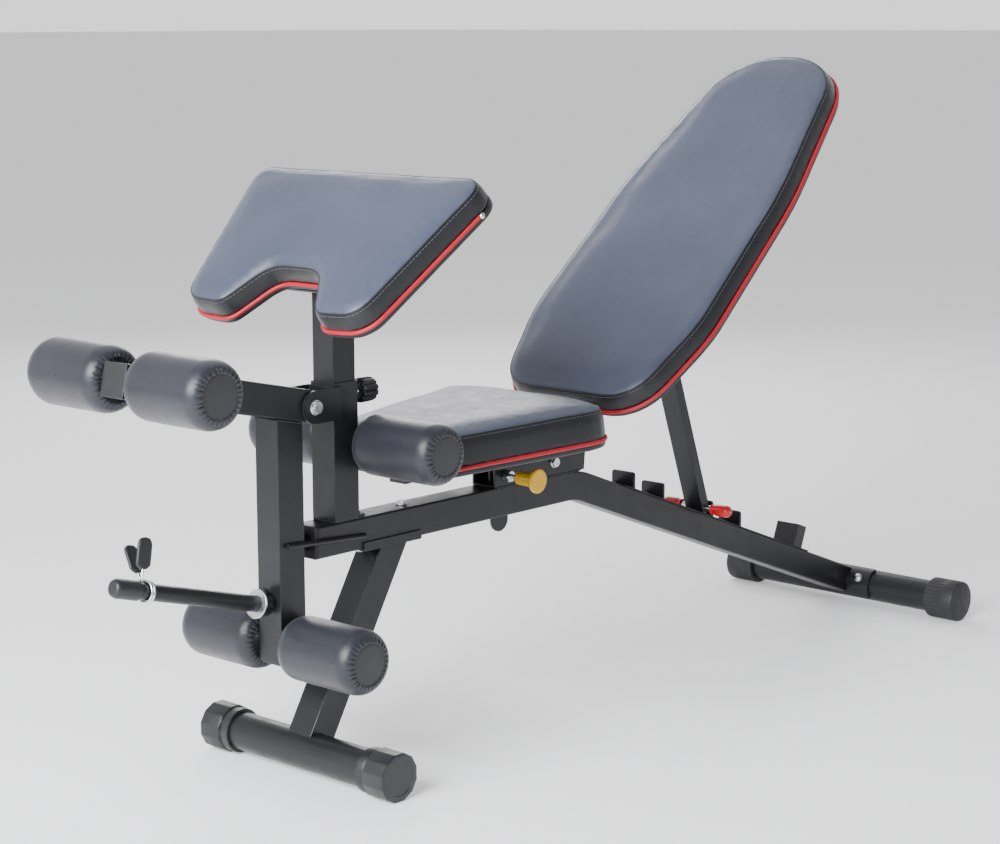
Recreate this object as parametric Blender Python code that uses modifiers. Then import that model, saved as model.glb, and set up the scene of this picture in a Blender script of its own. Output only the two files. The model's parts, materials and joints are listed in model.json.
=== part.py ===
"""Adjustable weight bench with a leg developer, a preacher pad and a weight peg.

Metres. +Z is up and the floor is z = 0, +X runs from the leg developer to the rear foot, and y = 0 is
the mid-plane. A sitter faces -X, so left is -Y. The origin is below the middle of the bench's box.
Places along the bench are measured from the front foot's axis: at(x, z) turns them into world points.
"""

import math

import bmesh
import bpy
from mathutils import Matrix, Vector

# Frame
FRONT_X = -0.5700            # front foot's axis in the world
GAP = 0.0003                 # clearance between solids that touch
TUBE = 0.050                 # side of the square frame tube
HALF = TUBE / 2
TUBE_EDGE = 0.003            # rounding of the square tube's corners
WALL = 0.002                 # wall of every tube
BEAM_Z = 0.363               # main beam's centre line ahead of the bend
BEAM_FRONT = 0.009
BEND_X = 0.615               # corner that the beam's two centre lines would meet at
BEND_R = 0.130               # bend of its centre line
FOOT_X = 1.464               # rear foot's axis
FOOT_R = 0.030               # round tube of both feet
FRONT_FOOT_Z = 0.0369
REAR_FOOT_Z = 0.0385
FRONT_FOOT_HALF = 0.2055
REAR_FOOT_HALF = 0.267
CAP_LENGTH = 0.062
SADDLE_WALL = 0.004
LEG_SLOPE = math.radians(60)

# Upright sleeve, preacher post and leg developer
SLEEVE_X = 0.072             # centre of the upright
SLEEVE_TOP = 0.603
SLEEVE_WALL = 0.002
POST_HALF = 0.0225
POST_BOTTOM = 0.395
PIVOT = (0.005, 0.5727)      # leg developer's pivot, x and z
ARM_RISE = math.radians(12.7)
ARM_REACH = 0.357            # pivot to the front end of the upper arm
ARM_X = -0.0425              # centre of the lower arm
ARM_BOTTOM = 0.188
UPPER_BAR = 0.3274           # pivot to the upper roller bar, along the arm
LOWER_BAR_Z = 0.2161
SEAT_BAR = (0.1101, 0.505)
BAR_R = 0.0125
ROLLER_R = 0.0487
SEAT_ROLLER_R = 0.0465

GUIDE_TIP = (-0.055, 0.370)  # ends of the bar that guides the lower arm
GUIDE_BEND = (0.103, 0.3595)

# Weight peg on the lower arm
PEG_Z = 0.278
PEG_RISE = math.radians(15.4)
PEG_R = 0.0125
PEG_LENGTH = 0.300
COLLAR_AT = 0.236

# Pads, with the board under the cover
BOARD = 0.012
PAD = 0.042
SEAT_PAD = 0.058
SEAT_PIVOT = (0.5518, 0.411)
SEAT_RISE = math.radians(2.7)
SEAT_BASE = 0.0513           # underside of the seat board above the seat's pivot
BACK_PIVOT = (0.633, 0.461)
BACK_ANGLE = math.radians(41.1)
BACK_FACE = 0.0739           # front face of the backrest above its pivot, square to the face
BACK_HALF = 0.0205           # half the width of the backrest's frame tube
BACK_DEEP = 0.0195           # half its depth
BRACKET_INNER = 0.0212
BRACKET_OUTER = 0.0252
PREACHER_ANGLE = math.radians(41.1)
PREACHER_TOP = (0.147, 0.9215)

# Backrest prop and the ladder that its foot stands on
PROP_HEAD = (0.8568, 0.6070)
PROP_FOOT_X = 0.979
PROP_HALF = 0.0198           # half the prop's width
PROP_END = 0.010             # radius of its rounded ends, half its depth
ROD_R = 0.006
STRIP = 0.0015               # thickness of the ladder's strip
LADDER = (0.740, 1.300)
LADDER_TABS = (0.766, 0.849, 0.9925, 1.078)
TAB_HEIGHT = 0.028
TAB = 0.005
TAB_ROUND = 0.005            # rounding of each tab's upper corners
REST = (1.2500, 1.2762)      # the block at the ladder's rear end
REST_HEIGHT = 0.042

# Fastenings
FRAME_BOLTS = (0.121, 0.214)
KNOB_Z = 0.5815
SEAT_BAR_HALF = 0.196
BAR_HALF = 0.185
SECTOR_X = 0.438             # middle of the seat's sector plate
SECTOR_HALF = 0.020
SECTOR_STEP = math.radians(4)
PIN = (0.429, 0.4065)
COIL_R = 0.0156
WIRE_R = 0.0020
COIL_PITCH = 0.0046
COIL_TURNS = 2
COIL_REACH = 0.031
COLLAR_TURN = 24             # the spring collar as a whole off the peg's upright, toward +Y, degrees
LEG_ANGLE = 16               # each of its legs off the collar's own upright, degrees
GRIP = (0.026, 0.0070, 0.046)    # the collar's grips: along the peg, thick, long
LEVER_SWEEP = 150            # how far the lever's wire winds round the peg, degrees

BEAM_SLOPE = math.atan2(BEAM_Z - REAR_FOOT_Z, FOOT_X - BEND_X)
BEAM_TOP = BEAM_Z + HALF
BEAM_BOTTOM = BEAM_Z - HALF

BLACK_STEEL = ("black_steel", (0.030, 0.030, 0.033), 0.42, 0.3)
BLACK_PLASTIC = ("black_plastic", (0.022, 0.022, 0.024), 0.55, 0.0)
RUBBER = ("rubber", (0.015, 0.015, 0.016), 0.80, 0.0)
ZINC = ("zinc_steel", (0.62, 0.63, 0.65), 0.28, 1.0)
YELLOW = ("yellow_plastic", (0.72, 0.50, 0.03), 0.40, 0.0)
RED = ("red_grip", (0.62, 0.03, 0.06), 0.45, 0.0)
LEATHERETTE = ("leatherette", (0.13, 0.14, 0.17), 0.48, 0.0)
DARK_LEATHERETTE = ("dark_leatherette", (0.035, 0.035, 0.04), 0.52, 0.0)


def at(x, z, y=0.0):
    """World point at x behind the front foot's axis."""
    return Vector((FRONT_X + x, y, z))


# ---------------------------------------------------------------- scene, materials and hierarchy

def new_collection(name):
    group = bpy.data.collections.new(name)
    bpy.context.scene.collection.children.link(group)
    return group


for start_up_object in list(bpy.data.objects):
    bpy.data.objects.remove(start_up_object)
PARTS = new_collection("adjustable_weight_bench")
CUTTERS = new_collection("cutters")
CUTTERS.hide_render = True


def material(spec):
    name, colour, roughness, metallic = spec
    found = bpy.data.materials.get(name)
    if found:
        return found
    made = bpy.data.materials.new(name)
    made.use_nodes = True
    shader = made.node_tree.nodes["Principled BSDF"]
    shader.inputs["Base Color"].default_value = (*colour, 1.0)
    shader.inputs["Roughness"].default_value = roughness
    shader.inputs["Metallic"].default_value = metallic
    return made


def add_object(name, mesh, group, parent=None, location=(0, 0, 0), rotation=(0, 0, 0)):
    obj = bpy.data.objects.new(name, mesh)
    obj.location = location
    obj.rotation_euler = rotation
    obj.parent = parent
    group.objects.link(obj)
    return obj


def joint_empty(name, location, rise=0.0, parent=None):
    """An empty on a joint's axis; rise turns its X axis up to the rear, about Y."""
    empty = add_object(name, None, PARTS, parent, location, (0, -rise, 0))
    empty.empty_display_size = 0.05
    return empty


def piece(name, mesh, spec, parent=None, location=(0, 0, 0), rotation=(0, 0, 0), smooth=True):
    mesh.materials.append(material(spec))
    if smooth:
        mesh.shade_smooth()
        mesh.set_sharp_from_angle(angle=math.radians(35))
    return add_object(name, mesh, PARTS, parent, location, rotation)


def round_edges(obj, width, segments=2):
    bevel = obj.modifiers.new("rounded_edges", "BEVEL")
    bevel.width = width
    bevel.segments = segments
    bevel.limit_method = "ANGLE"
    bevel.angle_limit = math.radians(40)
    return obj


def cut(obj, mesh, location=(0, 0, 0), rotation=(0, 0, 0), keep=False):
    """Cut obj with a mesh placed in the same parent's frame; keep leaves what lies inside the cutter."""
    cutter = add_object(f"{obj.name}_cutter_{len(obj.modifiers)}", mesh, CUTTERS, obj.parent, location, rotation)
    cutter.hide_render = True
    cutter.display_type = "WIRE"
    boolean = obj.modifiers.new("cut", "BOOLEAN")
    boolean.operation = "INTERSECT" if keep else "DIFFERENCE"
    boolean.solver = "EXACT"
    boolean.object = cutter
    return obj


def join(obj, mesh, location=(0, 0, 0), rotation=(0, 0, 0)):
    """Weld a mesh placed in the same parent's frame onto obj."""
    cut(obj, mesh, location, rotation)
    obj.modifiers[-1].operation = "UNION"
    return obj


# ---------------------------------------------------------------- mesh makers

def box_mesh(size_x, size_y, size_z):
    mesh = bpy.data.meshes.new("box")
    bm = bmesh.new()
    bmesh.ops.create_cube(bm, size=1.0)
    bmesh.ops.scale(bm, vec=(size_x, size_y, size_z), verts=bm.verts)
    bm.to_mesh(mesh)
    bm.free()
    return mesh


def cylinder_mesh(radius, length, sides=32, axis="Y"):
    """A cylinder centred on the origin; a low count of sides stands on a flat."""
    mesh = bpy.data.meshes.new("cylinder")
    bm = bmesh.new()
    bmesh.ops.create_cone(bm, cap_ends=True, segments=sides, radius1=radius, radius2=radius, depth=length)
    bmesh.ops.rotate(bm, matrix=Matrix.Rotation(math.pi / sides, 3, "Z"), verts=bm.verts)
    turn = {"X": Matrix.Rotation(math.pi / 2, 3, "Y"), "Y": Matrix.Rotation(math.pi / 2, 3, "X"),
            "Z": Matrix.Identity(3)}[axis]
    bmesh.ops.rotate(bm, matrix=turn, verts=bm.verts)
    bm.to_mesh(mesh)
    bm.free()
    return mesh


def slab_mesh(outlines, thickness, plane="XZ"):
    """Closed outlines in one plane, filled and extruded to both sides of it by half the thickness."""
    curve = bpy.data.curves.new("outline", "CURVE")
    curve.dimensions = "2D"
    curve.fill_mode = "BOTH"
    curve.extrude = thickness / 2
    for outline in outlines:
        spline = curve.splines.new("POLY")
        spline.points.add(len(outline) - 1)
        for point, (u, v) in zip(spline.points, outline):
            point.co = (u, v, 0, 1)
        spline.use_cyclic_u = True
    drawn = bpy.data.objects.new("outline", curve)
    bpy.context.scene.collection.objects.link(drawn)
    graph = bpy.context.evaluated_depsgraph_get()
    mesh = bpy.data.meshes.new_from_object(drawn.evaluated_get(graph))
    bpy.data.objects.remove(drawn)
    bm = bmesh.new()
    bm.from_mesh(mesh)
    bmesh.ops.remove_doubles(bm, verts=bm.verts, dist=1e-6)
    turn = {"XY": Matrix.Identity(3), "XZ": Matrix.Rotation(math.pi / 2, 3, "X"),
            "YZ": Matrix(((0, 0, 1), (1, 0, 0), (0, 1, 0)))}[plane]
    bmesh.ops.rotate(bm, matrix=turn, verts=bm.verts)
    bmesh.ops.recalc_face_normals(bm, faces=bm.faces)
    bm.to_mesh(mesh)
    bm.free()
    return mesh


def arc(centre, radius, start, end, steps):
    """Points on an arc, from start to end in degrees."""
    angles = [math.radians(start + (end - start) * i / steps) for i in range(steps + 1)]
    return [(centre[0] + radius * math.cos(a), centre[1] + radius * math.sin(a)) for a in angles]


def rounded(corners, steps=4):
    """An outline whose corners, given as (u, v, radius), are replaced by arcs."""
    points = []
    count = len(corners)
    for i, (u, v, radius) in enumerate(corners):
        here = Vector((u, v))
        before = Vector(corners[i - 1][:2]) - here
        after = Vector(corners[(i + 1) % count][:2]) - here
        if radius == 0:
            points.append((u, v))
            continue
        half_angle = before.angle(after) / 2
        reach = radius / math.tan(half_angle)
        centre = here + (before.normalized() + after.normalized()).normalized() * radius / math.sin(half_angle)
        first = here + before.normalized() * reach - centre
        sweep = first.angle_signed(here + after.normalized() * reach - centre)
        for k in range(steps + 1):
            spoke = first.copy()
            spoke.rotate(Matrix.Rotation(-sweep * k / steps, 2))
            points.append(tuple(centre + spoke))
    return points


def mirrored(half):
    """A half outline on +v, from its front to its rear, made whole about v = 0."""
    return half + [(u, -v, r) for u, v, r in reversed(half)]


def turned_mesh(profile, axis="Y", steps=32):
    """A profile of (radius, height), down its outer side, spun about an axis and closed at both ends."""
    mesh = bpy.data.meshes.new("profile")
    bm = bmesh.new()
    corners = [bm.verts.new((radius, 0, height)) for radius, height in profile]
    for first, second in zip(corners, corners[1:]):
        bm.edges.new((first, second))
    if profile[0][0] > 0:
        bm.edges.new((corners[-1], corners[0]))
    bm.to_mesh(mesh)
    bm.free()
    spun = bpy.data.objects.new("profile", mesh)
    bpy.context.scene.collection.objects.link(spun)
    screw = spun.modifiers.new("turn", "SCREW")
    screw.steps = steps
    screw.render_steps = steps
    screw.use_merge_vertices = True
    screw.merge_threshold = 1e-5
    graph = bpy.context.evaluated_depsgraph_get()
    made = bpy.data.meshes.new_from_object(spun.evaluated_get(graph))
    bpy.data.objects.remove(spun)
    bm = bmesh.new()
    bm.from_mesh(made)
    bmesh.ops.remove_doubles(bm, verts=bm.verts, dist=1e-6)
    turn = {"X": Matrix.Rotation(math.pi / 2, 3, "Y"), "Y": Matrix.Rotation(math.pi / 2, 3, "X"),
            "Z": Matrix.Identity(3)}[axis]
    bmesh.ops.rotate(bm, matrix=turn, verts=bm.verts)
    bmesh.ops.recalc_face_normals(bm, faces=bm.faces)
    bm.to_mesh(made)
    bm.free()
    return made


def bolt_mesh(length, shank, head, head_height, axis="Y"):
    """A through bolt between its two heads' seats, its middle on the origin."""
    end = length / 2
    top = end + head_height
    profile = [(0, top), (head * 0.55, top), (head * 0.9, top - head_height * 0.35), (head, end), (shank, end)]
    lower = [(radius, -height) for radius, height in reversed(profile)]
    return turned_mesh(profile + lower, axis, 16)


def square_tube(name, length, spec, parent=None, location=(0, 0, 0)):
    """A square tube along its own X, with rounded corners and open ends."""
    tube = piece(name, box_mesh(length, TUBE, TUBE), spec, parent, location)
    round_edges(tube, TUBE_EDGE)
    return cut(tube, box_mesh(2 * length, TUBE - 2 * WALL, TUBE - 2 * WALL), location)


def round_tube(name, radius, length, spec, parent=None, location=(0, 0, 0), sides=24):
    """A round tube along Y, open at its ends."""
    tube = piece(name, cylinder_mesh(radius, length, sides), spec, parent, location)
    return cut(tube, cylinder_mesh(radius - WALL, 2 * length, sides), location)


# ---------------------------------------------------------------- main frame

def main_beam():
    """A square tube, level in front and sloping down to the rear foot behind its bend."""
    def outline(half, front):
        mitre = half * math.tan(BEAM_SLOPE / 2)
        across, upright = half * math.sin(BEAM_SLOPE), half * math.cos(BEAM_SLOPE)
        return rounded([(front, BEAM_Z - half, 0), (BEND_X - mitre, BEAM_Z - half, BEND_R - half),
                        (FOOT_X - across, REAR_FOOT_Z - upright, 0), (FOOT_X + across, REAR_FOOT_Z + upright, 0),
                        (BEND_X + mitre, BEAM_Z + half, BEND_R + half), (front, BEAM_Z + half, 0)], 6)

    beam = piece("main_beam", slab_mesh([outline(HALF, BEAM_FRONT)], TUBE), BLACK_STEEL, location=at(0, 0))
    round_edges(beam, TUBE_EDGE)
    cut(beam, slab_mesh([outline(HALF - WALL, BEAM_FRONT - 0.01)], TUBE - 2 * WALL), at(0, 0))
    cut(beam, cylinder_mesh(FOOT_R + SADDLE_WALL + 3 * GAP, 0.2, 48), at(FOOT_X, REAR_FOOT_Z))
    for x in FRAME_BOLTS:
        cut(beam, cylinder_mesh(0.0053, 0.2, 16, "Z"), at(x, BEAM_Z))
    cut(beam, sector_slot(), at(SECTOR_X, BEAM_Z))
    cut(beam, cylinder_mesh(0.0046, 0.2, 16), at(GUIDE_BEND[0] + 0.004, GUIDE_BEND[1]))


def sector_slot():
    """The slot that the seat's sector plate passes through, long enough for the seat's tilt."""
    front, rear = -SECTOR_HALF - 0.0085, SECTOR_HALF + 0.0055
    return slab_mesh([[(front, -0.05), (rear, -0.05), (rear, 0.05), (front, 0.05)]], 0.006)


def arm_bumper():
    """A plug over the beam's front end, with the rubber nose that the lower arm rests on."""
    nose = BEAM_FRONT - GAP - (ARM_X + HALF + GAP)
    plug = piece("arm_bumper", box_mesh(0.003, TUBE, TUBE), RUBBER, location=at(BEAM_FRONT - 0.0015 - GAP, BEAM_Z))
    round_edges(plug, 0.0012)
    join(plug, cylinder_mesh(0.014, nose, 24, "X"), plug.location + Vector((0.0015 - nose / 2, 0, 0)))


def front_leg():
    """The leg runs from the front foot up to a channel that hugs the beam's underside."""
    top = BEAM_BOTTOM - GAP - 0.0015 - FRONT_FOOT_Z
    run = 1 / math.tan(LEG_SLOPE)
    side = HALF / math.sin(LEG_SLOPE)
    outline = [(-side, 0), (side, 0), (top * run + side, top), (top * run - side, top)]
    leg = piece("front_leg", slab_mesh([outline], TUBE), BLACK_STEEL, location=at(0, FRONT_FOOT_Z))
    round_edges(leg, TUBE_EDGE)
    bore = side - WALL / math.sin(LEG_SLOPE)
    bore_top = top - WALL
    hollow = [(-bore, 0), (bore, 0), (bore_top * run + bore, bore_top), (bore_top * run - bore, bore_top)]
    cut(leg, slab_mesh([hollow], TUBE - 2 * WALL), at(0, FRONT_FOOT_Z))
    cut(leg, cylinder_mesh(FOOT_R + GAP, 0.2, 48), at(0, FRONT_FOOT_Z))
    inner = HALF + GAP
    outer = inner + 0.003
    lip = 0.011
    channel = [(-outer, -0.003), (outer, -0.003), (outer, lip), (inner, lip), (inner, 0), (-inner, 0),
               (-inner, lip), (-outer, lip)]
    front, rear = 0.105, 0.230
    join(leg, slab_mesh([channel], rear - front, "YZ"), at((front + rear) / 2, BEAM_BOTTOM - GAP))
    for x in FRAME_BOLTS:
        cut(leg, cylinder_mesh(0.0053, 0.05, 16, "Z"), at(x, BEAM_BOTTOM))
    length = TUBE + 0.003 + 3 * GAP
    for name, x in zip(("frame_bolt_front", "frame_bolt_rear"), FRAME_BOLTS):
        piece(name, bolt_mesh(length, 0.005, 0.0095, 0.0065, "Z"), ZINC,
              location=at(x, BEAM_TOP + GAP - length / 2))


def foot(name, x, z, half, cap_outer, cap_sides, spec):
    """A round cross tube with a plastic cup on each end; each cup stands on a flat."""
    round_tube(f"{name}_tube", FOOT_R, 2 * (half - 0.006), BLACK_STEEL, location=at(x, z), sides=40)
    flat = cap_outer / math.cos(math.pi / cap_sides)
    for side_name, side in (("left", -1), ("right", 1)):
        cap = piece(f"{name}_cap_{side_name}", cylinder_mesh(flat, CAP_LENGTH, cap_sides), spec,
                    location=at(x, z, side * (half - CAP_LENGTH / 2)))
        round_edges(cap, 0.002, 1)
        bore = half - 0.006 + GAP
        cut(cap, cylinder_mesh(FOOT_R + GAP, 0.1, 40), at(x, z, side * (bore - 0.05)))


def rear_saddle():
    """A bent plate round the front of the rear foot, with a bolt on each side of the beam."""
    inner = FOOT_R + GAP
    outer = FOOT_R + SADDLE_WALL
    middle = 180 - math.degrees(BEAM_SLOPE)
    band = arc((0, 0), outer, middle - 62, middle + 62, 20) + arc((0, 0), inner, middle + 62, middle - 62, 20)
    saddle = piece("rear_saddle", slab_mesh([band], 0.150), BLACK_STEEL, location=at(FOOT_X, REAR_FOOT_Z))
    lean = math.radians(150)
    for name, y in (("saddle_bolt_left", -0.052), ("saddle_bolt_right", 0.052)):
        way = Vector((math.cos(lean), 0, math.sin(lean)))
        turn = (0, math.pi / 2 - lean, 0)
        cut(saddle, cylinder_mesh(0.0045, 0.03, 16, "Z"), at(FOOT_X, REAR_FOOT_Z, y) + way * outer, turn)
        profile = [(0, 0.0075), (0.004, 0.0075), (0.0075, 0.005), (0.0085, 0.0012), (0.0085, 0.0003),
                   (0.0042, 0.0003), (0.0042, -0.0032), (0, -0.0032)]
        piece(name, turned_mesh(profile, "Z", 16), ZINC,
              location=at(FOOT_X, REAR_FOOT_Z, y) + way * (outer + 0.0006), rotation=turn)


def arm_guide():
    """One bent bar through the beam: its two ends reach forward past the lower arm."""
    y = HALF + GAP + 0.004
    curve = bpy.data.curves.new("arm_guide", "CURVE")
    curve.dimensions = "3D"
    curve.bevel_depth = 0.004
    curve.bevel_resolution = 3
    curve.use_fill_caps = True
    corner = (GUIDE_BEND[0] + 0.004, GUIDE_BEND[1])
    points = [(*GUIDE_TIP, -y), (*GUIDE_BEND, -y), (*corner, -y + 0.003),
              (*corner, y - 0.003), (*GUIDE_BEND, y), (*GUIDE_TIP, y)]
    spline = curve.splines.new("POLY")
    spline.points.add(len(points) - 1)
    for point, (x, z, across) in zip(spline.points, points):
        point.co = (x, across, z, 1)
    curve.materials.append(material(BLACK_STEEL))
    add_object("arm_guide", curve, PARTS, None, at(0, 0))


def upright():
    """The sleeve on the beam, with the leg developer's ears in front and the lock knob's nut behind."""
    bottom = BEAM_TOP + GAP
    inner = HALF - SLEEVE_WALL
    square = [(-HALF, -HALF), (HALF, -HALF), (HALF, HALF), (-HALF, HALF)]
    hollow = [(-inner, -inner), (inner, -inner), (inner, inner), (-inner, inner)]
    sleeve = piece("upright_sleeve", slab_mesh([square, hollow], SLEEVE_TOP - bottom, "XY"), BLACK_STEEL,
                   location=at(SLEEVE_X, (SLEEVE_TOP + bottom) / 2))
    cut(sleeve, cylinder_mesh(0.0046, 0.02, 16, "X"), at(SLEEVE_X + HALF, KNOB_Z))
    web_back = SLEEVE_X - HALF - GAP
    web_front = web_back - 0.003
    inside = HALF + 0.0008
    outside = inside + 0.004
    ear_back = 0.060
    ear_front = PIVOT[0] - HALF
    letter_h = [(ear_front, -outside), (ear_back, -outside), (ear_back, -inside), (web_back, -inside),
                (web_back, inside), (ear_back, inside), (ear_back, outside), (ear_front, outside),
                (ear_front, inside), (web_front, inside), (web_front, -inside), (ear_front, -inside)]
    bracket = piece("developer_bracket", slab_mesh([letter_h], 2 * TUBE, "XY"), BLACK_STEEL,
                    location=at(0, PIVOT[1]))
    nose = [(0.08, -HALF)] + [(0.08, HALF)] + arc((PIVOT[0], 0), HALF, 90, 270, 16)
    cut(bracket, slab_mesh([nose], 0.1), at(0, PIVOT[1]), keep=True)
    cut(bracket, cylinder_mesh(0.0063, 0.1, 24), at(PIVOT[0], PIVOT[1]))
    piece("developer_pivot_bolt", bolt_mesh(2 * (outside + GAP), 0.006, 0.0115, 0.007), ZINC,
          location=at(PIVOT[0], PIVOT[1]))
    nut = piece("lock_knob_nut", cylinder_mesh(0.0095, 0.009, 6, "X"), ZINC,
                location=at(SLEEVE_X + HALF + GAP + 0.0045, KNOB_Z))
    cut(nut, cylinder_mesh(0.0046, 0.03, 16, "X"), at(SLEEVE_X + HALF, KNOB_Z))
    round_tube("seat_roller_bar", BAR_R, 2 * SEAT_BAR_HALF, ZINC, location=at(*SEAT_BAR))


def roller(name, x, z, side, inner, outer, radius):
    """A foam roller with puckered shoulders: open on the bar at its inner end, closed at its outer one."""
    length = outer - inner
    shoulder = 0.012
    profile = [(0, length), (radius * 0.80, length), (radius, length - shoulder), (radius, shoulder),
               (radius * 0.80, 0), (BAR_R + GAP, 0), (BAR_R + GAP, length - 0.003), (0, length - 0.003)]
    turn = (math.pi if side > 0 else 0, 0, 0)
    pivot = joint_empty(f"{name}_axis", at(x, z))
    piece(name, turned_mesh(profile, "Y", 24), DARK_LEATHERETTE, pivot, (0, side * inner, 0), turn)


# ---------------------------------------------------------------- leg developer

def leg_developer():
    pivot = joint_empty("leg_developer_pivot", at(PIVOT[0], PIVOT[1]), -ARM_RISE)
    rear = 0.021
    arm = square_tube("developer_upper_arm", ARM_REACH + rear, BLACK_STEEL, pivot,
                      ((rear - ARM_REACH) / 2, 0, 0))
    cut(arm, cylinder_mesh(0.0063, 0.1, 24))
    cut(arm, cylinder_mesh(BAR_R + GAP, 0.1, 24), (-UPPER_BAR, 0, 0))
    plug = piece("developer_arm_plug", box_mesh(0.004, TUBE, TUBE), BLACK_PLASTIC, pivot,
                 (-ARM_REACH - 0.002 - GAP, 0, 0))
    round_edges(plug, 0.0015)
    round_tube("upper_roller_bar", BAR_R, 2 * BAR_HALF, ZINC, pivot, (-UPPER_BAR, 0, 0))
    lower = joint_empty("developer_lower_arm_frame", at(ARM_X, LOWER_BAR_Z))
    under = HALF / math.cos(ARM_RISE) + GAP
    front_top = PIVOT[1] - LOWER_BAR_Z + math.tan(ARM_RISE) * (PIVOT[0] - ARM_X + HALF) - under
    rear_top = PIVOT[1] - LOWER_BAR_Z + math.tan(ARM_RISE) * (PIVOT[0] - ARM_X - HALF) - under
    bottom = ARM_BOTTOM - LOWER_BAR_Z
    outline = [(-HALF, bottom), (HALF, bottom), (HALF, rear_top), (-HALF, front_top)]
    drop = piece("developer_lower_arm", slab_mesh([outline], TUBE), BLACK_STEEL, lower)
    round_edges(drop, TUBE_EDGE)
    cut(drop, box_mesh(TUBE - 2 * WALL, TUBE - 2 * WALL, 1.0))
    cut(drop, cylinder_mesh(BAR_R + GAP, 0.1, 24))
    round_tube("lower_roller_bar", BAR_R, 2 * BAR_HALF, ZINC, lower)


def weight_peg():
    """The peg's frame sits on the arm's front face; its -X axis runs out along the peg."""
    frame = joint_empty("weight_peg_frame", at(ARM_X - HALF, PEG_Z), -PEG_RISE)
    clear = 0.0055
    socket_length = 0.019
    socket = piece("peg_socket", cylinder_mesh(0.017, socket_length, 24, "X"), BLACK_STEEL, frame,
                   (-clear - socket_length / 2, 0, 0))
    round_edges(socket, 0.001, 1)
    cut(socket, cylinder_mesh(PEG_R + GAP, 0.1, 24, "X"))
    profile = [(0, 0.0245), (0.0035, 0.0245), (0.006, 0.0225), (0.0065, 0.0165), (0.0065, 0.0150), (0, 0.0150)]
    join(socket, turned_mesh(profile, "Z", 16), (-clear - socket_length / 2, 0, 0))
    flange = piece("peg_flange", cylinder_mesh(0.0225, 0.004, 24, "X"), ZINC, frame,
                   (-clear - socket_length - 0.002 - GAP, 0, 0))
    round_edges(flange, 0.001, 1)
    cut(flange, cylinder_mesh(PEG_R + GAP, 0.1, 24, "X"))
    start = 0.0045
    piece("weight_peg", cylinder_mesh(PEG_R, PEG_LENGTH - start, 24, "X"), BLACK_STEEL, frame,
          (-(PEG_LENGTH + start) / 2, 0, 0))
    length = 0.045
    profile = [(0, 0.004), (PEG_R + GAP, 0.004), (PEG_R + GAP, length), (0.0145, length), (0.0145, 0.008),
               (0.0125, 0.003), (0.0085, 0), (0, 0)]
    piece("peg_tip_cap", turned_mesh(profile, "X", 24), BLACK_PLASTIC, frame, (-PEG_LENGTH - 0.004 - GAP, 0, 0))


def spring_collar():
    """A coil clip on the peg: two legs stand up from it, each with a flat grip; one leg is the lever."""
    out = Vector((-math.cos(PEG_RISE), 0, math.sin(PEG_RISE)))
    axis = joint_empty("spring_collar_axis", at(ARM_X - HALF, PEG_Z) + out * COLLAR_AT, -PEG_RISE)
    frame = add_object("spring_collar_frame", None, PARTS, axis, rotation=(-math.radians(COLLAR_TURN), 0, 0))
    fixed_turns = COIL_TURNS + LEG_ANGLE / 180
    lever_turns = LEVER_SWEEP / 360
    coil_wire("collar_coil", frame, 0.0, COIL_TURNS * 360 + LEG_ANGLE, -LEG_ANGLE)
    coil_wire("collar_lever_wire", frame, fixed_turns + 0.94, LEG_ANGLE - LEVER_SWEEP, LEG_ANGLE)
    fixed_x = -fixed_turns * COIL_PITCH
    lever_x = -(fixed_turns + 0.94 + lever_turns) * COIL_PITCH
    for name, angle, x in (("collar_grip", -LEG_ANGLE, fixed_x), ("collar_lever_grip", LEG_ANGLE, lever_x)):
        lean = math.radians(angle)
        reach = COIL_REACH + GAP + GRIP[2] / 2
        grip = piece(name, box_mesh(*GRIP), BLACK_PLASTIC, frame,
                     (x, -math.sin(lean) * reach, math.cos(lean) * reach), (lean, 0, 0))
        round_edges(grip, 0.0025, 2)


def coil_wire(name, frame, start_turn, first, last):
    """A wire that winds round the peg between two angles and then stands up at the last one."""
    curve = bpy.data.curves.new(name, "CURVE")
    curve.dimensions = "3D"
    curve.bevel_depth = WIRE_R
    curve.bevel_resolution = 2
    curve.use_fill_caps = True
    steps = max(8, round(abs(last - first) / 22.5))
    points = []
    for i in range(steps + 1):
        angle = first + (last - first) * i / steps
        lean = math.radians(angle)
        x = -(start_turn + abs(angle - first) / 360) * COIL_PITCH
        points.append((x, -math.sin(lean) * COIL_R, math.cos(lean) * COIL_R))
    end_x = points[-1][0]
    lean = math.radians(last)
    for radius in (COIL_R + 0.004, COIL_REACH):
        points.append((end_x, -math.sin(lean) * radius, math.cos(lean) * radius))
    spline = curve.splines.new("POLY")
    spline.points.add(len(points) - 1)
    for point, place in zip(spline.points, points):
        point.co = (*place, 1)
    curve.materials.append(material(ZINC))
    return add_object(name, curve, PARTS, frame)


# ---------------------------------------------------------------- pads

def pad_mesh(outline, thickness, edge):
    """A cushion on z = 0: an outline with its upper rim rounded."""
    mesh = slab_mesh([outline], thickness, "XY")
    bm = bmesh.new()
    bm.from_mesh(mesh)
    bmesh.ops.translate(bm, vec=(0, 0, thickness / 2), verts=bm.verts)
    bmesh.ops.dissolve_limit(bm, angle_limit=0.01, verts=bm.verts, edges=bm.edges)
    rim = [e for e in bm.edges if min(v.co.z for v in e.verts) > thickness * 0.99]
    bmesh.ops.bevel(bm, geom=rim, offset=edge, segments=2, profile=0.5, affect="EDGES", clamp_overlap=True)
    bmesh.ops.recalc_face_normals(bm, faces=bm.faces)
    bm.to_mesh(mesh)
    bm.free()
    return mesh


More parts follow.
